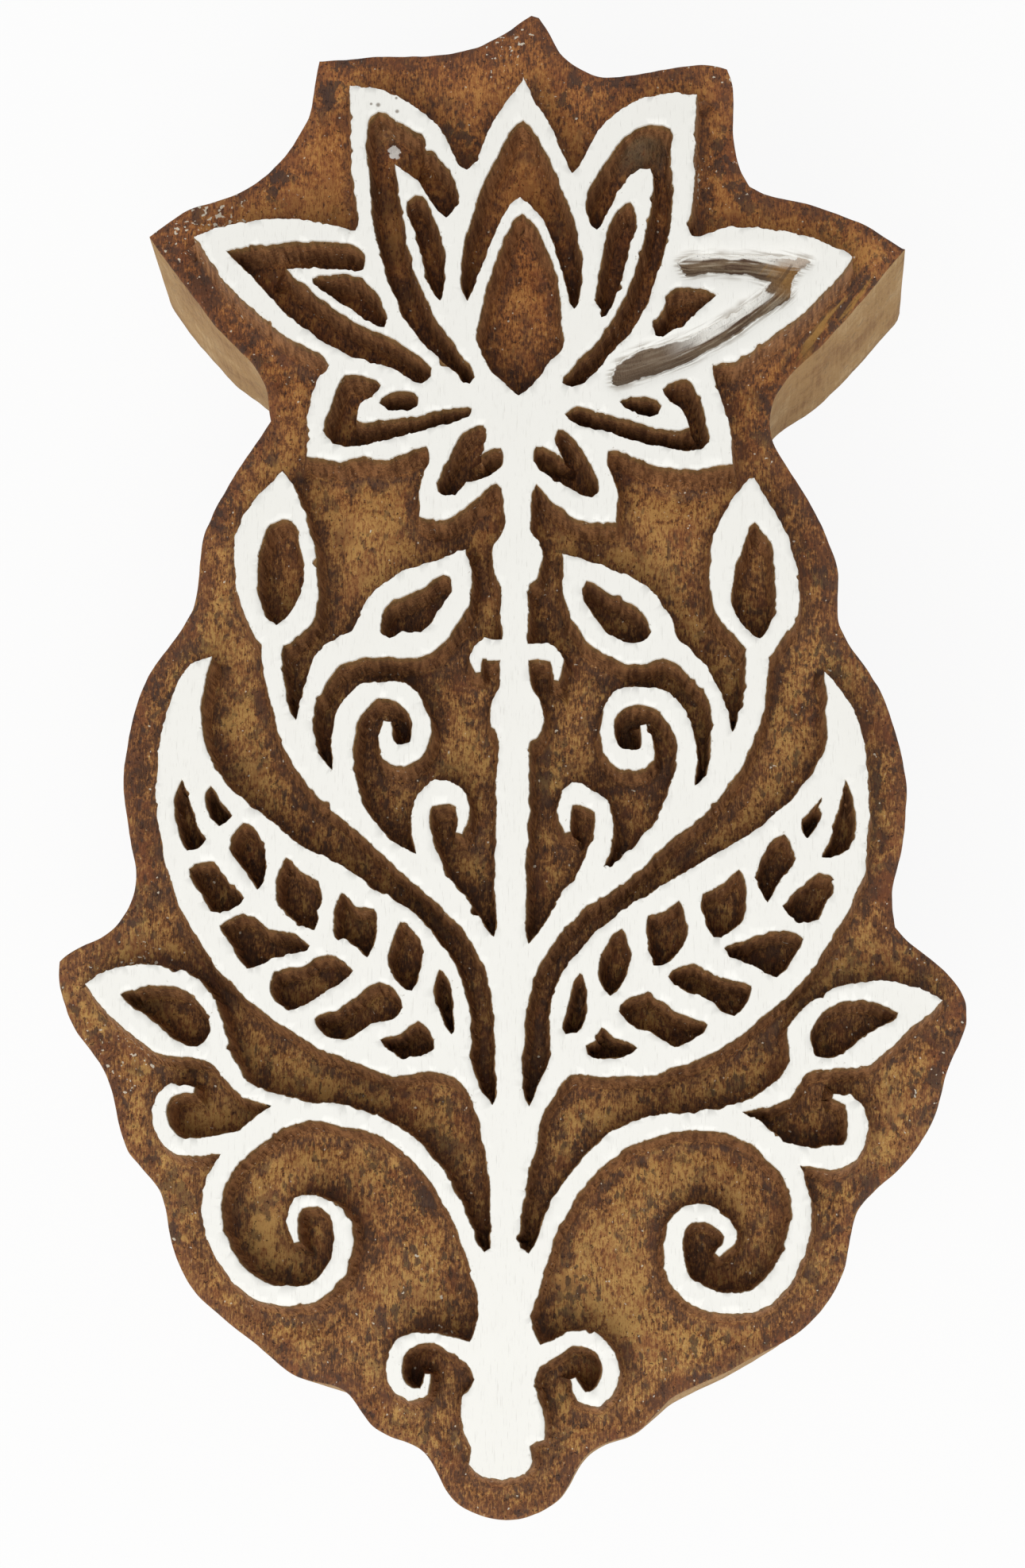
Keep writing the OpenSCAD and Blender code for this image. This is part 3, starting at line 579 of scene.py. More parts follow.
def welded(points, faces, layers):
    """Points closer than a hair merged; faces that are then flat or back to back are dropped."""
    _, first, merged = np.unique(points.round(3), axis=0, return_index=True, return_inverse=True)
    faces = merged.reshape(-1)[faces]
    whole = np.all(faces != np.roll(faces, 1, axis=1), axis=1)
    trios = np.sort(faces, axis=1)
    _, group, count = np.unique(trios, axis=0, return_inverse=True, return_counts=True)
    whole &= count[group.reshape(-1)] == 1
    used, faces = np.unique(faces[whole], return_inverse=True)
    first = first[used]
    return points[first], faces.reshape(-1, 3), {key: row[first] for key, row in layers.items()}


def loose_edges(faces):
    """Count of edges that aren't shared by exactly two faces in opposite directions."""
    edges = np.vstack([faces[:, [0, 1]], faces[:, [1, 2]], faces[:, [2, 0]]])
    one_way = {tuple(edge) for edge in edges.tolist()}
    return sum((b, a) not in one_way for a, b in one_way) + len(edges) - len(one_way)


board_points, board_faces = stacked([
    (face_solid, face_net), tube([face_solid[at_rim], *wall_rings]),
    (back_solid, back_net[:, ::-1]), (block_corners, block_faces[in_housing])])
rest = len(board_points) - len(face_solid)
flank = np.ones(rest)
flank[:3 * edge_count] = np.repeat([0, 0.3, 0.6], edge_count)
board_mesh = welded(board_points, board_faces, {
    "relief_gap": np.concatenate([gap_all, np.full(rest, FAR_GAP)]),
    "rim_gap": np.concatenate([rim_all, np.zeros(rest)]),
    "flank": np.concatenate([np.zeros(len(face_solid)), flank]),
    "shallow": np.concatenate([shallow[owner] * 1.0, np.zeros(rest)]),
})
print(len(board_mesh[0]), "points,", loose_edges(board_mesh[1]), "loose edges")

# %% Make the board


def make_piece(name, node, slot, points, faces, layers, sharp):
    """A mesh piece that stands for a CAD node, from points in millimetres."""
    mesh = bpy.data.meshes.new(name)
    mesh.from_pydata((points * MM).tolist(), [], faces.tolist())
    for key, row in layers.items():
        values = mesh.attributes.new(key, "FLOAT", "POINT").data
        values.foreach_set("value", row.astype(np.float32))
    mesh.shade_smooth()
    mesh.set_sharp_from_angle(angle=math.radians(sharp))
    piece = bpy.data.objects.new(name, mesh)
    bpy.context.scene.collection.objects.link(piece)
    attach(piece, "root")
    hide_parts(node)
    return piece


board = make_piece("hand_carved_board", "carved_block", "block_wood", *board_mesh, 50)
print(board.name, len(board.data.polygons), "faces")

# %% [markdown]
# ## The white coat
#
# The lines are coated white on top so that they stand out. The coat stops just short of the
# cut edge, and it has flaked off in a few small spots. It is a thin closed film with a
# rounded edge, and its outline follows the cut lines a hair inside them.

# %% Outline of the coat
FLAKES = [(-13.9, 61.6, 0.5, 0.4), (-6.7, 36.5, 0.35, 0.5)]


def coat_edge(ring):
    """The edge of the coat along a cut ring."""
    count = len(ring)
    inset = 0.045 + 0.02 * waver(count, 1) + 0.02 * waver(count, 10)
    inset += 0.15 * np.maximum(waver(count, 2) - 2.0, 0)
    for x, y, reach, depth in FLAKES:
        inset += depth * hump(ring, x, y, reach)
    return ring + left_of(ring) * (np.clip(inset, 0.015, 0.6) * calm(ring))[:, None]


coat_rings = [coat_edge(ring) for ring in line_rings]
coat_lines = Outline(coat_rings)
print(len(coat_lines.points), "points along the edge of the coat")

# %% Film of the coat
FILM_ROWS = [(0.025, 0.7), (0.07, 0.96)]
FILM_STEP, FILM_CLEAR = 0.7, 0.3
coat_spots, coat_share = [coat_lines.points], [np.zeros(line_count)]
for inset, share in FILM_ROWS:
    row = np.vstack([ring + left_of(ring) * inset for ring in coat_rings])
    inside, distance = coat_lines.side(row)
    keep = inside & (distance > inset * OWN_SHARE)
    coat_spots.append(row[keep])
    coat_share.append(np.full(keep.sum(), share))
grid = loose_grid(coat_lines.points, FILM_STEP)
inside, distance = coat_lines.side(grid)
grid = grid[inside & (distance > FILM_CLEAR)]
coat_spots.append(grid)
coat_share.append(0.96 + 0.035 * lumps(grid, (0.8, 5), 31))
coat_rows = ring_numbers(coat_rings)
film_points, film_net = wood_net(np.vstack(coat_spots), coat_rows)
crossings = len(film_points) - sum(map(len, coat_spots))
film_share = np.concatenate([*coat_share, np.zeros(crossings)])
groove = Outline([ring for ring, low in zip(coat_rings, shallow) if low])
film_share *= 0.1 + 0.9 * ramp(groove.nearest(film_points)[1], 0, 0.9)
film_level = face_z + (coat_top_z - face_z) * film_share
print(len(film_points), "points in the film")

# %% Make the coat
under_points, under_net = wood_net(coat_lines.points, coat_rows)
both_points = np.vstack([film_points, under_points])
_, film_gap = coat_lines.nearest(both_points)
film_gap[:line_count] = 0
_, groove_gap = groove.nearest(both_points)
film_parts = [(at_level(film_points, film_level), film_net),
              (at_level(under_points, face_z), under_net[:, ::-1])]
film = welded(*stacked(film_parts), {"coat_gap": film_gap, "groove_gap": groove_gap})
coat = make_piece("brushed_white_coat", "white_face_coat", "white_coat", *film, 60)
print(coat.name, len(film[1]), "faces,", loose_edges(film[1]), "loose edges")

# %% [markdown]
# ## The grip
#
# The grip is a bar of plain wood with a hollow for the fingers along each side, let into the
# back of the block. It is made as a stack of rings: each ring is the plan of the bar, clipped
# to the width that the CAD has at that level. Easing the stack along and across rounds the
# arrises as a spokeshave and the hand would. The screw holes are taken over from the CAD.

# %% Rings of the grip
ARRIS = 1.8
GRIP_STEP = 0.9
GRIP_FAR = 60.0
SEAT_INSET, SEAT_DROP = 0.35, 0.4
grip_shape = BVHTree.FromPolygons(grip_corners.tolist(), grip_faces.tolist())
plan_rings = rings_at(grip_corners, grip_faces, seat_z)
sole_rings = [ring[::-1] for ring in rings_at(grip_corners, grip_faces, 0.0)]
plan = even_steps(plan_rings[0], GRIP_STEP)
plan_inward = eased(left_of(plan), 2)


def grip_half(level):
    """Half the width of the CAD grip at a level."""
    return grip_shape.ray_cast((GRIP_FAR, 0, level), (-1, 0, 0))[0].x


stack = []
for level in np.arange(seat_z - SEAT_DROP, ARRIS, -GRIP_STEP * 0.8):
    wide = np.array([grip_half(level), GRIP_FAR])
    stack.append(at_level(np.clip(plan, -wide, wide), level))
stack = np.array(stack)
for _ in range(4):
    stack = np.stack([at_level(eased(row[:, :2], 1), row[:, 2]) for row in stack])
    stack[1:-1, :, :2] = stack[1:-1, :, :2] / 2 + (stack[:-2, :, :2] + stack[2:, :, :2]) / 4
narrowest = 2 * np.abs(stack[:, :, 0]).max(axis=1).min()
print(len(stack), "rings of", len(plan), "points, narrowest", narrowest.round(2), "mm")

# %% Ends and holes of the grip
CAP_CLEAR, HOLE_CLEAR = 1.2, 1


def inset_ring(ring, inset, level):
    """A ring of the grip drawn in by an inset and set at another level."""
    return at_level(ring[:, :2] + plan_inward * inset, level)


sole = [inset_ring(stack[-1], ARRIS * (1 - math.cos(a)), ARRIS * (1 - math.sin(a)))
        for a in np.radians([22.5, 45, 67.5, 90])]
grip_rings = [inset_ring(stack[0], SEAT_INSET, seat_z), *stack, *sole]
for ring in grip_rings[2:-len(sole)]:
    worn = 0.06 * (1 + lumps(ring[:, 1:] + ring[:, :1] * 3, (9, 9), 41))
    ring[:, :2] += plan_inward * worn[:, None]


def cap(ring, holes):
    """Points and faces of an end of the grip around its screw holes."""
    level, ring = ring[0, 2], ring[:, :2]
    spots = loose_grid(ring, BACK_STEP)
    spots = spots[Outline([ring, *holes]).nearest(spots)[1] > CAP_CLEAR]
    spots = spots[Outline([ring], plan_inward).side(spots)[0]]
    for hole in holes:
        middle = hole.mean(axis=0)
        radius = np.linalg.norm(hole - middle, axis=1).max()
        spots = spots[np.linalg.norm(spots - middle, axis=1) > radius + HOLE_CLEAR]
    rows = ring_numbers([ring, *holes])
    points, faces = wood_net(np.vstack([ring, *holes, spots]), rows)
    return at_level(points, level), faces


top_cap = cap(grip_rings[0], plan_rings[1:])
sole_points, sole_faces = cap(grip_rings[-1], sole_rings[1:])
screw_middles = [hole.mean(axis=0) for hole in plan_rings[1:]]
hole_reach = max(np.linalg.norm(hole - hole.mean(axis=0), axis=1).max() for hole in sole_rings[1:])
near_screw = [np.linalg.norm(grip_corners[:, :2] - middle, axis=1) for middle in screw_middles]
near_screw = np.min(near_screw, axis=0)
in_hole = np.all(near_screw[grip_faces] < hole_reach + 0.1, axis=1)
for level in (0.0, seat_z):
    in_hole &= ~np.all(np.abs(grip_corners[grip_faces][:, :, 2] - level) < SAME, axis=1)
print(int(in_hole.sum()), "faces in the screw holes")

# %% Make the grip
grip_mesh = welded(*stacked([
    tube(grip_rings), top_cap, (sole_points, sole_faces[:, ::-1]),
    (grip_corners, grip_faces[in_hole])]), {})
grip = make_piece("spokeshaved_grip", "grip_handle", "grip_wood", *grip_mesh, 40)
print(grip.name, len(grip_mesh[1]), "faces,", loose_edges(grip_mesh[1]), "loose edges")

# %% [markdown]
# ## Finishes as expressions
#
# A finish is a small network of nodes. Writing it as Python expressions keeps it readable,
# so a wire wraps a node's output and arithmetic on wires adds Math nodes. Everything else
# goes through one method that takes the node type, its settings and its sockets.

# %% Wires and finishes


class Wire:
    """An output of a node, with arithmetic that adds Math nodes."""

    def __init__(self, finish, socket):
        self.finish = finish
        self.socket = socket

    def math(self, operation, first, second):
        """A Math node on two values, of which at least one is a wire."""
        return self.finish.node("ShaderNodeMath", {"operation": operation}, {0: first, 1: second})

    def __add__(self, other):
        return self.math("ADD", self, other)

    def __sub__(self, other):
        return self.math("SUBTRACT", self, other)

    def __rsub__(self, other):
        return self.math("SUBTRACT", other, self)

    def __mul__(self, other):
        return self.math("MULTIPLY", self, other)

    __radd__ = __add__
    __rmul__ = __mul__


def tint(red, green, blue):
    """A colour as a screen shows it, from 0 to 255, made linear for Blender."""
    shown = np.array([red, green, blue]) / 255
    linear = np.where(shown > 0.04045, ((shown + 0.055) / 1.055) ** 2.4, shown / 12.92)
    return (*linear.tolist(), 1.0)


class Finish:
    """A material, or the sky, that is made of wires."""

    def __init__(self, name, home=bpy.data.materials):
        self.made = home.new(name)
        self.made.use_nodes = True
        self.tree = self.made.node_tree
        self.tree.nodes.clear()
        self.spot = self.node("ShaderNodeTexCoord", out="Object")
        self.flat = self.node("ShaderNodeVectorMath", {"operation": "MULTIPLY"}, {
            0: self.spot, 1: (1, 1, 0)})

    def node(self, kind, settings=None, sockets=None, out=0):
        """A new node with its settings, then its sockets; gives one of its outputs."""
        made = self.tree.nodes.new(kind)
        for key, value in (settings or {}).items():
            setattr(made, key, value)
        for key, value in (sockets or {}).items():
            if isinstance(value, Wire):
                self.tree.links.new(value.socket, made.inputs[key])
            else:
                made.inputs[key].default_value = value
        return Wire(self, made.outputs[out]) if made.outputs else None

    def layer(self, name):
        """A value that travels with the points of the mesh."""
        return self.node("ShaderNodeAttribute", {"attribute_name": name}, out="Fac")

    def clouds(self, size, seed, detail=3.0, rough=0.55):
        """Noise from 0 to 1 in blobs of a size in millimetres along x, y and z."""
        at = self.node("ShaderNodeMapping", {}, {
            "Vector": self.spot, "Location": (seed, seed * 1.7, seed * 0.6),
            "Scale": [1 / (MM * s) for s in size]})
        return self.node("ShaderNodeTexNoise", {}, {
            "Vector": at, "Scale": 1.0, "Detail": detail, "Roughness": rough})

    def rise(self, value, low, high):
        """0 below low, 1 above high, with a smooth rise between."""
        return self.node("ShaderNodeMapRange", {"interpolation_type": "SMOOTHSTEP"}, {
            "Value": value, "From Min": low, "From Max": high})

    def clamp(self, value):
        """A value held between 0 and 1."""
        return self.node("ShaderNodeClamp", {}, {"Value": value})

    def axis(self, letter):
        """The place along an axis in millimetres."""
        return self.node("ShaderNodeSeparateXYZ", {}, {0: self.spot}, letter) * (1 / MM)

    def far(self, x, y):
        """Distance from a spot in metres, seen from above."""
        return self.node("ShaderNodeVectorMath", {"operation": "DISTANCE"}, {
            0: self.flat, 1: (x * MM, y * MM, 0)}, "Value")

    def near(self, x, y, reach):
        """1 at a spot, seen from above, falling to 0 at a reach."""
        return 1 - self.rise(self.far(x, y), 0.3 * reach * MM, reach * MM)

    def spots(self, rows):
        """1 at each of several spots of a reach; where spots overlap they add up."""
        return sum(self.near(*row) for row in rows)

    def arc(self, x, y, radius):
        """Millimetres beyond an arc round a middle, seen from above; less than 0 inside it."""
        return self.far(x, y) * (1 / MM) - radius

    def streaks(self, across, width, seed):
        """Noise in long streaks of a width along the lines on which a distance stays the same."""
        at = self.node("ShaderNodeCombineXYZ", {}, {
            0: across * (1 / width), 1: self.axis("X") * 0.25, 2: seed})
        return self.node("ShaderNodeTexNoise", {}, {"Vector": at, "Scale": 1.0, "Detail": 3.0})

    def blend(self, share, first, second):
        """A colour between two others, each a wire or a colour as a screen shows it."""
        first, second = (end if isinstance(end, Wire) else tint(*end) for end in (first, second))
        return self.node("ShaderNodeMix", {"data_type": "RGBA"}, {0: share, 6: first, 7: second}, 2)

    def over(self, base, *rows):
        """A colour with others laid over it in turn, each by its share."""
        for share, colour in rows:
            base = self.blend(share, base, colour)
        return base

    def stops(self, value, first, *rows):
        """A colour that passes through rows of low, high and colour as a value rises."""
        for low, high, colour in rows:
            first = self.blend(self.rise(value, low, high), first, colour)
        return first

    def bump(self, height, distance, strength):
        """A surface direction for heights from 0 to 1 over a distance in millimetres."""
        return self.node("ShaderNodeBump", {}, {
            "Height": height, "Distance": distance * MM, "Strength": strength})

    def shade(self, **sockets):
        """The finish itself, from the sockets of its shader."""
        names = {key.replace("_", " ").title().replace("Ior", "IOR"): value
                 for key, value in sockets.items()}
        shader = self.node("ShaderNodeBsdfPrincipled", {}, names)
        self.node("ShaderNodeOutputMaterial", {}, {"Surface": shader})
        return self.made

    def seen(self):
        """1 for what the camera, a gloss or a clear body sees, and 0 for light on its way."""
        rays = [self.node("ShaderNodeLightPath", out=f"Is {kind} Ray")
                for kind in ("Camera", "Glossy", "Transmission")]
        return self.clamp(rays[0] + rays[1] + rays[2])


print("finishes are made of wires")

# %% [markdown]
# ## Oiled and stained wood
#
# The ground was never sanded. Beside the lines it is painted darker, as the shade at the base
# of the walls, and dark dye sits in short pores along the grain. The open ground is ochre, the
# edge is reddish, and the sawn walls are pale. All of it is driven by the distances that the
# mesh carries and by noise that is drawn out along the grain. Larger lighter and darker spots
# are set where the block shows them: some lighter spots come from rubbing and some are painted
# light, and one dark spot in a petal cell is painted shade. Fine pits and specks of paint come
# last.

# %% Marks of the ground
wood = Finish("oiled_block_wood")
relief_gap, rim_gap = wood.layer("relief_gap"), wood.layer("rim_gap")
flank_mark, shallow_mark = wood.layer("flank"), wood.layer("shallow")
patches = wood.clouds((7, 9, 7), 1, 3.0)
mottle = wood.clouds((1.6, 2.2, 1.6), 2, 6.0, 0.68)
grain = wood.clouds((0.32, 0.55, 0.4), 3, 4.0, 0.7)
fibre = wood.clouds((0.12, 0.9, 0.2), 4, 2.0)
tone = 0.32 * patches + 0.22 * mottle + 0.64 * grain + 0.36 * fibre - 0.226
upper = wood.rise(wood.axis("Y"), 5, 50)
ragged = mottle - 0.5
# open_ground is 0 beside the lines and the edge of the board and 1 on the open ground; it sets
# where the tone is painted darker as shade beside the lines.
open_ground = wood.rise(relief_gap + 6 * ragged, 0.6, 2.4)
open_ground = open_ground * wood.rise(rim_gap + 6 * ragged, 0.6, 3.0)
print("ground marks:", len(wood.tree.nodes), "nodes")

# %% Lighter and darker spots
# Lighter spots: some come from rubbing, and some are painted light where more light falls on the
# open ground. Dark spots are stain, apart from the last one, in the left petal cell, which is
# painted shade.
LIT_AND_RUBBED = [(-11.8, 23, 7), (15, 20.5, 6), (-13, -5, 5), (7.7, -52.4, 6), (-8.3, -51.7, 5),
          (-37, -28.4, 6), (0, -71.6, 6), (18.8, 65, 5), (20, -58.8, 6), (-32.6, -39.5, 7),
          (20.2, 62.5, 5), (-1.8, 48.1, 5), (-11.3, 22.5, 5), (-37, -14.9, 4), (-32.8, -32.8, 4),
          (34.7, -27.5, 4), (6.5, -53.8, 5), (-9, -54.6, 4), (-33, -46.5, 5), (1.1, 58.6, 5),
          (-34, -26, 4), (17, -24, 4), (24.7, -36, 4), (-9.5, -8, 4), (16, 0, 4)]
DYED_AND_SHADED = [(-9.8, -44.5, 7), (-34.5, 4.1, 5), (27.6, 4.9, 6), (3.1, -5, 5), (5.4, -38.6, 6),
        (13.5, -47.3, 5), (39.7, -31, 5), (-12.6, -57.5, 6), (31.6, -45.7, 5), (-3.4, -37.2, 5),
        (-19.8, -59, 5), (-33.5, 46, 5), (-28.5, 39.5, 5), (-24.5, 57, 4), (-29, 24, 5),
        (6.5, 65.1, 5), (-19, 67.6, 4), (-4.3, 63.5, 4), (-33.8, 6.5, 5), (13, -60, 5),
        (35.7, -5.8, 5), (24, -47.2, 4), (-8.8, -46, 5), (27.6, 4.9, 5), (39.7, -34.8, 5),
        (-22.6, 36.6, 4), (-27, 29, 5), (-0.5, -12.5, 4), (-15.5, 51, 4)]
lit_and_rubbed_spots, dyed_and_shaded_spots = wood.spots(LIT_AND_RUBBED), wood.spots(DYED_AND_SHADED)
print(len(LIT_AND_RUBBED), "rubbed spots and", len(DYED_AND_SHADED), "dyed spots")

# %% Colours of the ground
# Painted shade: the tone is lowered beside the lines, as the shade at the base of the walls, and
# lowered towards the edge of the board. Lighter spots raise it, partly as painted light, and spots
# of dye lower it.
lit_and_rubbed = tone - 0.068 * (1 - open_ground) + 0.03 * lit_and_rubbed_spots - 0.03 * dyed_and_shaded_spots
lower_brown = wood.stops(
    lit_and_rubbed, (76, 49, 30), (0.38, 0.46, (116, 74, 41)),
    (0.45, 0.52, (158, 108, 60)), (0.51, 0.60, (190, 147, 84)))
upper_brown = wood.stops(
    lit_and_rubbed, (72, 42, 24), (0.38, 0.46, (113, 68, 37)),
    (0.45, 0.52, (157, 98, 50)), (0.52, 0.61, (184, 129, 69)))
rim_red = 1 - wood.rise(rim_gap + 6 * ragged, 0.4, 1.8)
red = wood.rise(wood.clouds((2.4, 3.2, 2.4), 6, 5.0, 0.65), 0.53, 0.62)
brown = wood.over(
    wood.blend(upper, lower_brown, upper_brown),
    (0.4 * rim_red, (112, 68, 42)), (0.4 * red, (128, 72, 40)))
print("ground colours:", len(wood.tree.nodes), "nodes")

# %% Dark dye
dye_region = wood.rise(wood.clouds((10, 12, 10), 8, 2.0), 0.45, 0.58)
dye = wood.rise(wood.clouds((1.5, 2.1, 1.5), 9, 6.0, 0.68), 0.51, 0.58)
rim_dye = upper * (1 - wood.rise(rim_gap + 8 * ragged, 0.6, 3.4))
dash = wood.rise(wood.clouds((0.6, 1.2, 0.6), 7, 3.0, 0.5), 0.54, 0.62)
dash = dash * wood.rise(wood.clouds((4, 5, 4), 10, 3.0), 0.45, 0.55)
# The dark spots feed the dye mask; the one in the left petal cell is painted shade.
dye_and_shade = dye * (0.7 * dye_region + 0.6 * rim_dye + 0.6 * dyed_and_shaded_spots) + (0.95 - 0.95 * upper) * dash
dye_and_shade = wood.clamp(dye_and_shade) * (0.6 + 0.8 * (grain - 0.3))
brown = wood.blend(dye_and_shade, brown, (54, 40, 34))
print("dye:", len(wood.tree.nodes), "nodes")

# %% Walls of the lines
# Painted shade: the deep cell of the left petal is darkened.
CELL_SHADE = [(-13.6, 55, 2.6), (-12.9, 50, 2.6), (-11.5, 45.5, 2.6)]
# Painted shade: a dark band along the base of each wall, in the crease where it meets the ground.
foot_shade = wood.rise(relief_gap, 0.4, 0.7) * (1 - wood.rise(relief_gap + 5 * ragged, 0.8, 1.9))
wall_streak = 0.6 * wood.clouds((0.5, 0.5, 4), 11, 3.0) + 0.4 * grain
wall = wood.stops(wall_streak, (104, 66, 39), (0.38, 0.62, (176, 125, 80)))
brown = wood.over(
    brown, (0.4 * foot_shade, (76, 49, 31)),
    (0.85 - 0.85 * wood.rise(relief_gap, 0.25, 0.6), wall),
    (0.6 * (1 - wood.rise(relief_gap, 0.03, 0.12)), (124, 98, 54)),
    (0.45 * wood.spots(CELL_SHADE), (48, 30, 22)))
print("walls:", len(wood.tree.nodes), "nodes")

# %% Pits and specks
SPLASHED = [(-33, 52, 6), (-29, 54, 4), (20.5, 68.5, 4), (-37.5, -32, 6), (17.8, 57, 4),
            (-1, 72, 4), (-35, -22, 4), (-5.8, -57.2, 1.6)]
pits = wood.rise(wood.clouds((0.3, 0.36, 0.3), 12, 1.0) + 0.02 * rim_red, 0.685, 0.735)
specks = wood.clouds((0.5, 0.5, 0.5), 13, 1.0) + 0.1 * wood.spots(SPLASHED)
drop = wood.rise(wood.near(-12.3, 60.2, 0.9) + 2.2 * (grain - 0.5), 0.4, 0.6)
brown = wood.over(
    brown, (0.75 * pits, (50, 24, 15)),
    (0.85 * wood.rise(specks, 0.745, 0.78), (220, 210, 190)), (0.95 * drop, (250, 248, 242)))
print("pits and specks:", len(wood.tree.nodes), "nodes")

# %% [markdown]
# ## Smeared groove and scuffed shelves
#
# The brush ran over the shallow groove and left paint in it as streaks along its two arms.
# Each arm is about an arc. It is worn brown on its outer side, and on the inner side it fades
# into white. The shelves in the two petal cells are scuffed, and the right wing has painted
# highlights and painted shade in streaks along its ground.

# %% Groove and shelves
UPPER_ARM, LOWER_ARM = (20.5, 20.6, 25.9), (2.5, 69.0, 35.0)
ARM_SPLIT = (43.4, 44.6)


def groove_marks(finish):
    """Streaks along the two arms of the groove, and millimetres towards their white side."""
    upper_arm = finish.rise(finish.axis("Y"), *ARM_SPLIT)
    arms = [(finish.arc(*UPPER_ARM), upper_arm), (0 - finish.arc(*LOWER_ARM), 1 - upper_arm)]
    along = sum(finish.streaks(across, 0.3, 1.0) * share for across, share in arms)
    return along, sum(across * share for across, share in arms)


streak, white_side = groove_marks(wood)
groove_end, groove_corner = wood.near(12.0, 36.0, 9.0), wood.near(28.2, 45.6, 4.0)
painted = wood.rise(white_side + 2.0 * (streak - 0.5), 0.3, 1.0)
painted = painted * (1 - groove_end - 0.6 * groove_corner)
painted = painted + 1 - wood.rise(relief_gap + 0.6 * (streak - 0.5), 0.0, 0.15)
smear = wood.over(
    wood.stops(streak, (80, 58, 42), (0.36, 0.48, (114, 94, 72)), (0.50, 0.64, (154, 138, 116))),
    (0.5 * (1 - wood.rise(white_side, -1.1, -0.1)), (76, 54, 40)),
    (0.6 * groove_end, (98, 80, 64)), (0.85 * groove_corner, (146, 106, 56)),
    (wood.clamp(painted), (236, 234, 227)))
scuffed = wood.near(12.2, 60.2, 4.2) + 0.4 * wood.near(-13.2, 61.6, 2.2)
scuffed = scuffed * wood.rise(0.5 * fibre + 0.5 * grain, 0.34, 0.52)
scuffed = scuffed * wood.rise(relief_gap, 0.1, 0.4)
# Painted highlights and painted shade: lighter and darker streaks run along the ground of the right
# wing.
wing_light_and_shade = wood.near(31, 44, 9) * wood.rise(relief_gap, 0.4, 0.8)
wing_streak = wood.streaks(wood.arc(425, -264, 500), 0.6, 3.0)
brown = wood.over(
    brown, (shallow_mark, smear), (0.8 * scuffed, (104, 88, 64)),
    (0.75 * wing_light_and_shade * wood.rise(wing_streak, 0.5, 0.62), (172, 130, 66)),
    (0.7 * wing_light_and_shade * (1 - wood.rise(wing_streak, 0.36, 0.45)), (64, 44, 32)))
print("groove and shelves:", len(wood.tree.nodes), "nodes")

# %% Wood of the board
pale_tone = 0.45 * patches + 0.3 * mottle + 0.25 * wood.clouds((0.35, 0.35, 7), 14, 4.0)
pale = wood.stops(
    pale_tone, (152, 111, 63), (0.38, 0.5, (180, 141, 88)), (0.5, 0.62, (200, 165, 117)))
pale = wood.over(
    pale, (0.5 * wood.rise(mottle, 0.58, 0.66), (112, 84, 56)), (0.4 * pits, (96, 64, 40)))
colour = wood.blend(wood.rise(flank_mark, 0.7, 1.0), brown, pale)
wood_height = 0.4 * fibre + 0.6 * grain + 0.4 * mottle - 0.5 * pits - 0.2 * dye_and_shade
wood_bump = wood.bump(wood_height, 0.34, 0.8)
board.data.materials.append(wood.shade(
    base_color=colour, roughness=0.55 + 0.3 * grain, normal=wood_bump,
    specular_ior_level=0.35))
print("wood:", len(wood.tree.nodes), "nodes")

# %% [markdown]
# ## Brushed white
#
# The coat is thin, so the grain of the wood prints through it as fine grey hairlines. Its
# edge is worn in places, the brush smudged it beside the shallow groove, and a few small
# pits show the wood.

# %% White of the coat
PITTED = [(-13.6, 63.2, 0.32), (-11.7, 62.5, 0.28), (-14.3, 63.3, 0.2), (-11.8, 63.9, 0.2)]
white = Finish("brushed_white")
coat_gap, groove_gap = white.layer("coat_gap"), white.layer("groove_gap")
hair = white.rise(white.clouds((0.06, 1.6, 1), 21, 2.0), 0.62, 0.74)
cloudy = white.clouds((4, 6, 4), 22)
worn_edge = white.rise(white.clouds((0.35, 0.35, 1), 25, 2.0), 0.66, 0.74)
worn_edge = worn_edge * (1 - white.rise(coat_gap, 0.1, 0.5))
coat_streak, _ = groove_marks(white)
smudged = (1 - white.rise(groove_gap, 0.0, 0.8)) * (1 - white.rise(coat_streak, 0.40, 0.58))
chalk = white.over(
    (244, 243, 237), (0.5 * cloudy, (236, 234, 227)), (0.28 * hair, (172, 168, 156)),
    (0.5 * worn_edge, (150, 138, 116)),
    (0.25 * (1 - white.rise(coat_gap, 0.0, 0.08)), (176, 160, 128)),
    (0.6 * smudged, (126, 110, 88)), (0.8 * white.spots(PITTED), (110, 96, 80)))
white_bump = white.bump(0.6 * hair + 0.4 * white.clouds((0.4, 2, 1), 24), 0.03, 0.5)
coat.data.materials.append(white.shade(
    base_color=chalk, roughness=0.5 + 0.15 * cloudy, normal=white_bump))
print("white:", len(white.tree.nodes), "nodes")

# %% [markdown]
# ## Grip wood and screw steel
#
# The grip is plainer wood than the board, dry and a little darker where the fingers hold it.
# The screws are bright steel gone dull; they keep their CAD shape, with the corners welded
# and the edges broken by a small bevel.

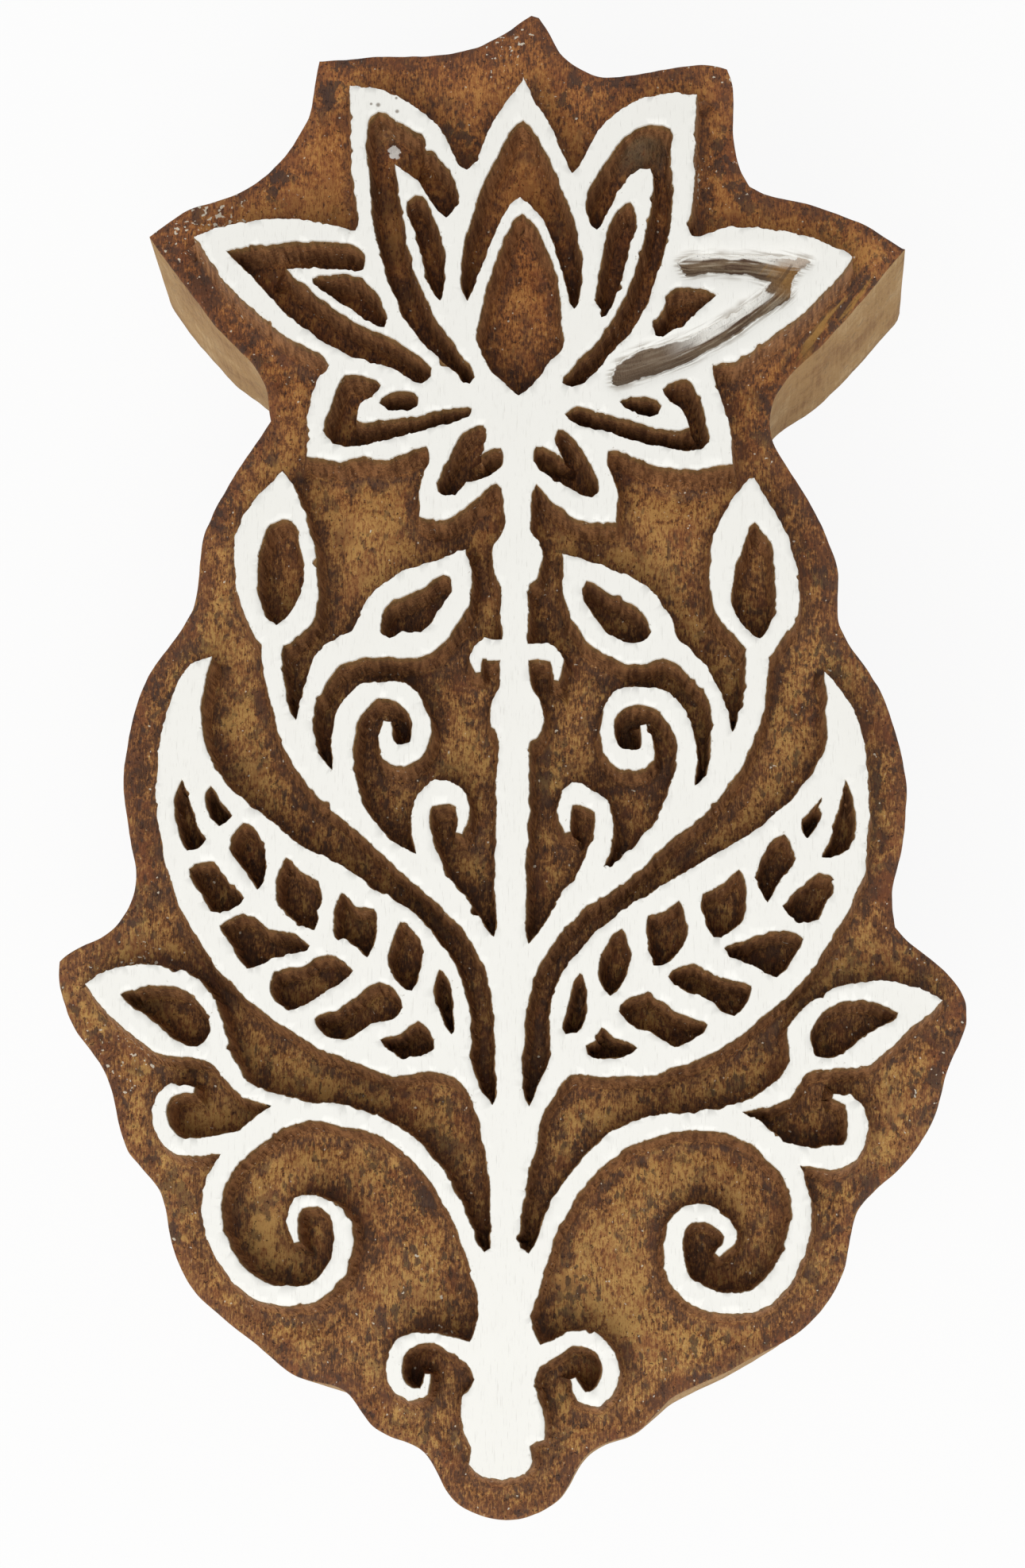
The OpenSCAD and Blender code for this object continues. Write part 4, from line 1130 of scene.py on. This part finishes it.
# %% Wood of the grip
bar = Finish("plain_grip_wood")
ring_lines = bar.clouds((1.6, 26, 1.1), 21, 4.0)
bar_fibre = bar.clouds((0.2, 4, 0.2), 22)
bar_pores = bar.rise(bar.clouds((0.22, 2.2, 0.3), 23, 1.0), 0.62, 0.72)
handled = bar.clouds((9, 14, 9), 24)
bar_tone = 0.6 * ring_lines + 0.4 * bar_fibre
plain = bar.over(
    (132, 92, 56), (bar.rise(bar_tone, 0.36, 0.64), (186, 148, 104)),
    (0.45 * bar.rise(handled, 0.45, 0.7), (112, 76, 46)), (0.6 * bar_pores, (78, 50, 30)))
bar_bump = bar.bump(0.6 * bar_fibre + 0.4 * ring_lines - 0.5 * bar_pores, 0.12, 0.6)
grip.data.materials.append(bar.shade(
    base_color=plain, roughness=0.5 + 0.2 * handled, normal=bar_bump))
print("grip wood:", len(bar.tree.nodes), "nodes")

# %% Steel of the screws
steel = Finish("dull_screw_steel")
drawn = steel.clouds((0.1, 3, 0.1), 31, 2.0)
tarnish = steel.clouds((2, 2, 2), 32, 4.0)
grey = steel.blend(steel.rise(tarnish, 0.4, 0.65), (196, 192, 184), (150, 140, 124))
steel_bump = steel.bump(drawn, 0.02, 0.5)
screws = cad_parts["handle_screws"]
screws.data.materials.clear()
screws.data.materials.append(steel.shade(
    base_color=grey, metallic=1.0, roughness=0.3 + 0.2 * tarnish, normal=steel_bump))
weld = screws.modifiers.new("weld_corners", "WELD")
weld.merge_threshold = 0.002 * MM
bevel = screws.modifiers.new("broken_edges", "BEVEL")
bevel.width, bevel.segments, bevel.limit_method = 0.15 * MM, 2, "ANGLE"
print("steel:", len(steel.tree.nodes), "nodes")

# %% [markdown]
# ## Floor, light and camera
#
# The block lies on its grip with the face up on a plain pale floor. Soft even light comes
# from a pale sky and one large lamp. The camera looks almost straight down, tilted by twelve
# degrees, and stands where the photograph's perspective puts it.

# %% Floor
FLOOR_REACH, FLOOR_GLOW = 6000.0, 0.9
floor_mesh = bpy.data.meshes.new("studio_floor")
reach = FLOOR_REACH * MM
floor_corners = [(x * reach, y * reach, 0) for x, y in ((-1, -1), (1, -1), (1, 1), (-1, 1))]
floor_mesh.from_pydata(floor_corners, [], [(0, 1, 2, 3)])
floor = bpy.data.objects.new("studio_floor", floor_mesh)
bpy.context.scene.collection.objects.link(floor)
paper = Finish("studio_paper")
matte = paper.node("ShaderNodeBsdfDiffuse", {}, {"Color": (0.86, 0.86, 0.86, 1)})
glow = paper.node("ShaderNodeEmission", {}, {"Color": (1, 1, 1, 1), "Strength": 1.0})
both = paper.node("ShaderNodeMixShader", {}, {0: paper.seen() * FLOOR_GLOW, 1: matte, 2: glow})
paper.node("ShaderNodeOutputMaterial", {}, {"Surface": both})
floor_mesh.materials.append(paper.made)
print("floor", 2 * reach, "m across")

# %% Light
LAMP_AT, LAMP_SIZE, LAMP_WATTS = Vector((-120, -560, 900)), 700, 7.0
scene = bpy.context.scene
scene.view_settings.view_transform = "Standard"
sky = Finish("pale_sky", bpy.data.worlds)
daylight = sky.node("ShaderNodeBackground", {}, {"Color": (1, 1, 1, 1), "Strength": 0.5})
backdrop = sky.node("ShaderNodeBackground", {}, {"Color": (1, 1, 1, 1), "Strength": 1.0})
both = sky.node("ShaderNodeMixShader", {}, {0: sky.seen(), 1: daylight, 2: backdrop})
sky.node("ShaderNodeOutputWorld", {}, {"Surface": both})
scene.world = sky.made
light = bpy.data.lights.new("window_lamp", "AREA")
light.shape, light.size, light.energy = "SQUARE", LAMP_SIZE * MM, LAMP_WATTS
lamp = bpy.data.objects.new("window_lamp", light)
lamp.location = LAMP_AT * MM
aim = Vector((0, 0, face_z * MM)) - lamp.location
lamp.rotation_euler = aim.to_track_quat("-Z", "Y").to_euler()
scene.collection.objects.link(lamp)
print("one lamp and a pale sky")

# %% Camera
PHOTO_TALL = 1974
FOCAL_PIXELS = 4800
SENSOR = 36.0
view_from = Vector((13.546, -80.345, face_z + 357.107))
view_at = Vector((0.283, -5.774, face_z))
ahead = (view_at - view_from).normalized()
upward = Vector((0, -ahead.z, ahead.y)).normalized()
lens = bpy.data.cameras.new("photo_camera")
lens.sensor_width = SENSOR
lens.lens = FOCAL_PIXELS * SENSOR / PHOTO_TALL
camera = bpy.data.objects.new("photo_camera", lens)
turn = Matrix((ahead.cross(upward), upward, -ahead)).transposed()
camera.matrix_world = Matrix.LocRotScale(view_from * MM, turn.to_quaternion(), None)
scene.collection.objects.link(camera)
scene.camera = camera
print("lens", round(lens.lens, 2), "mm")
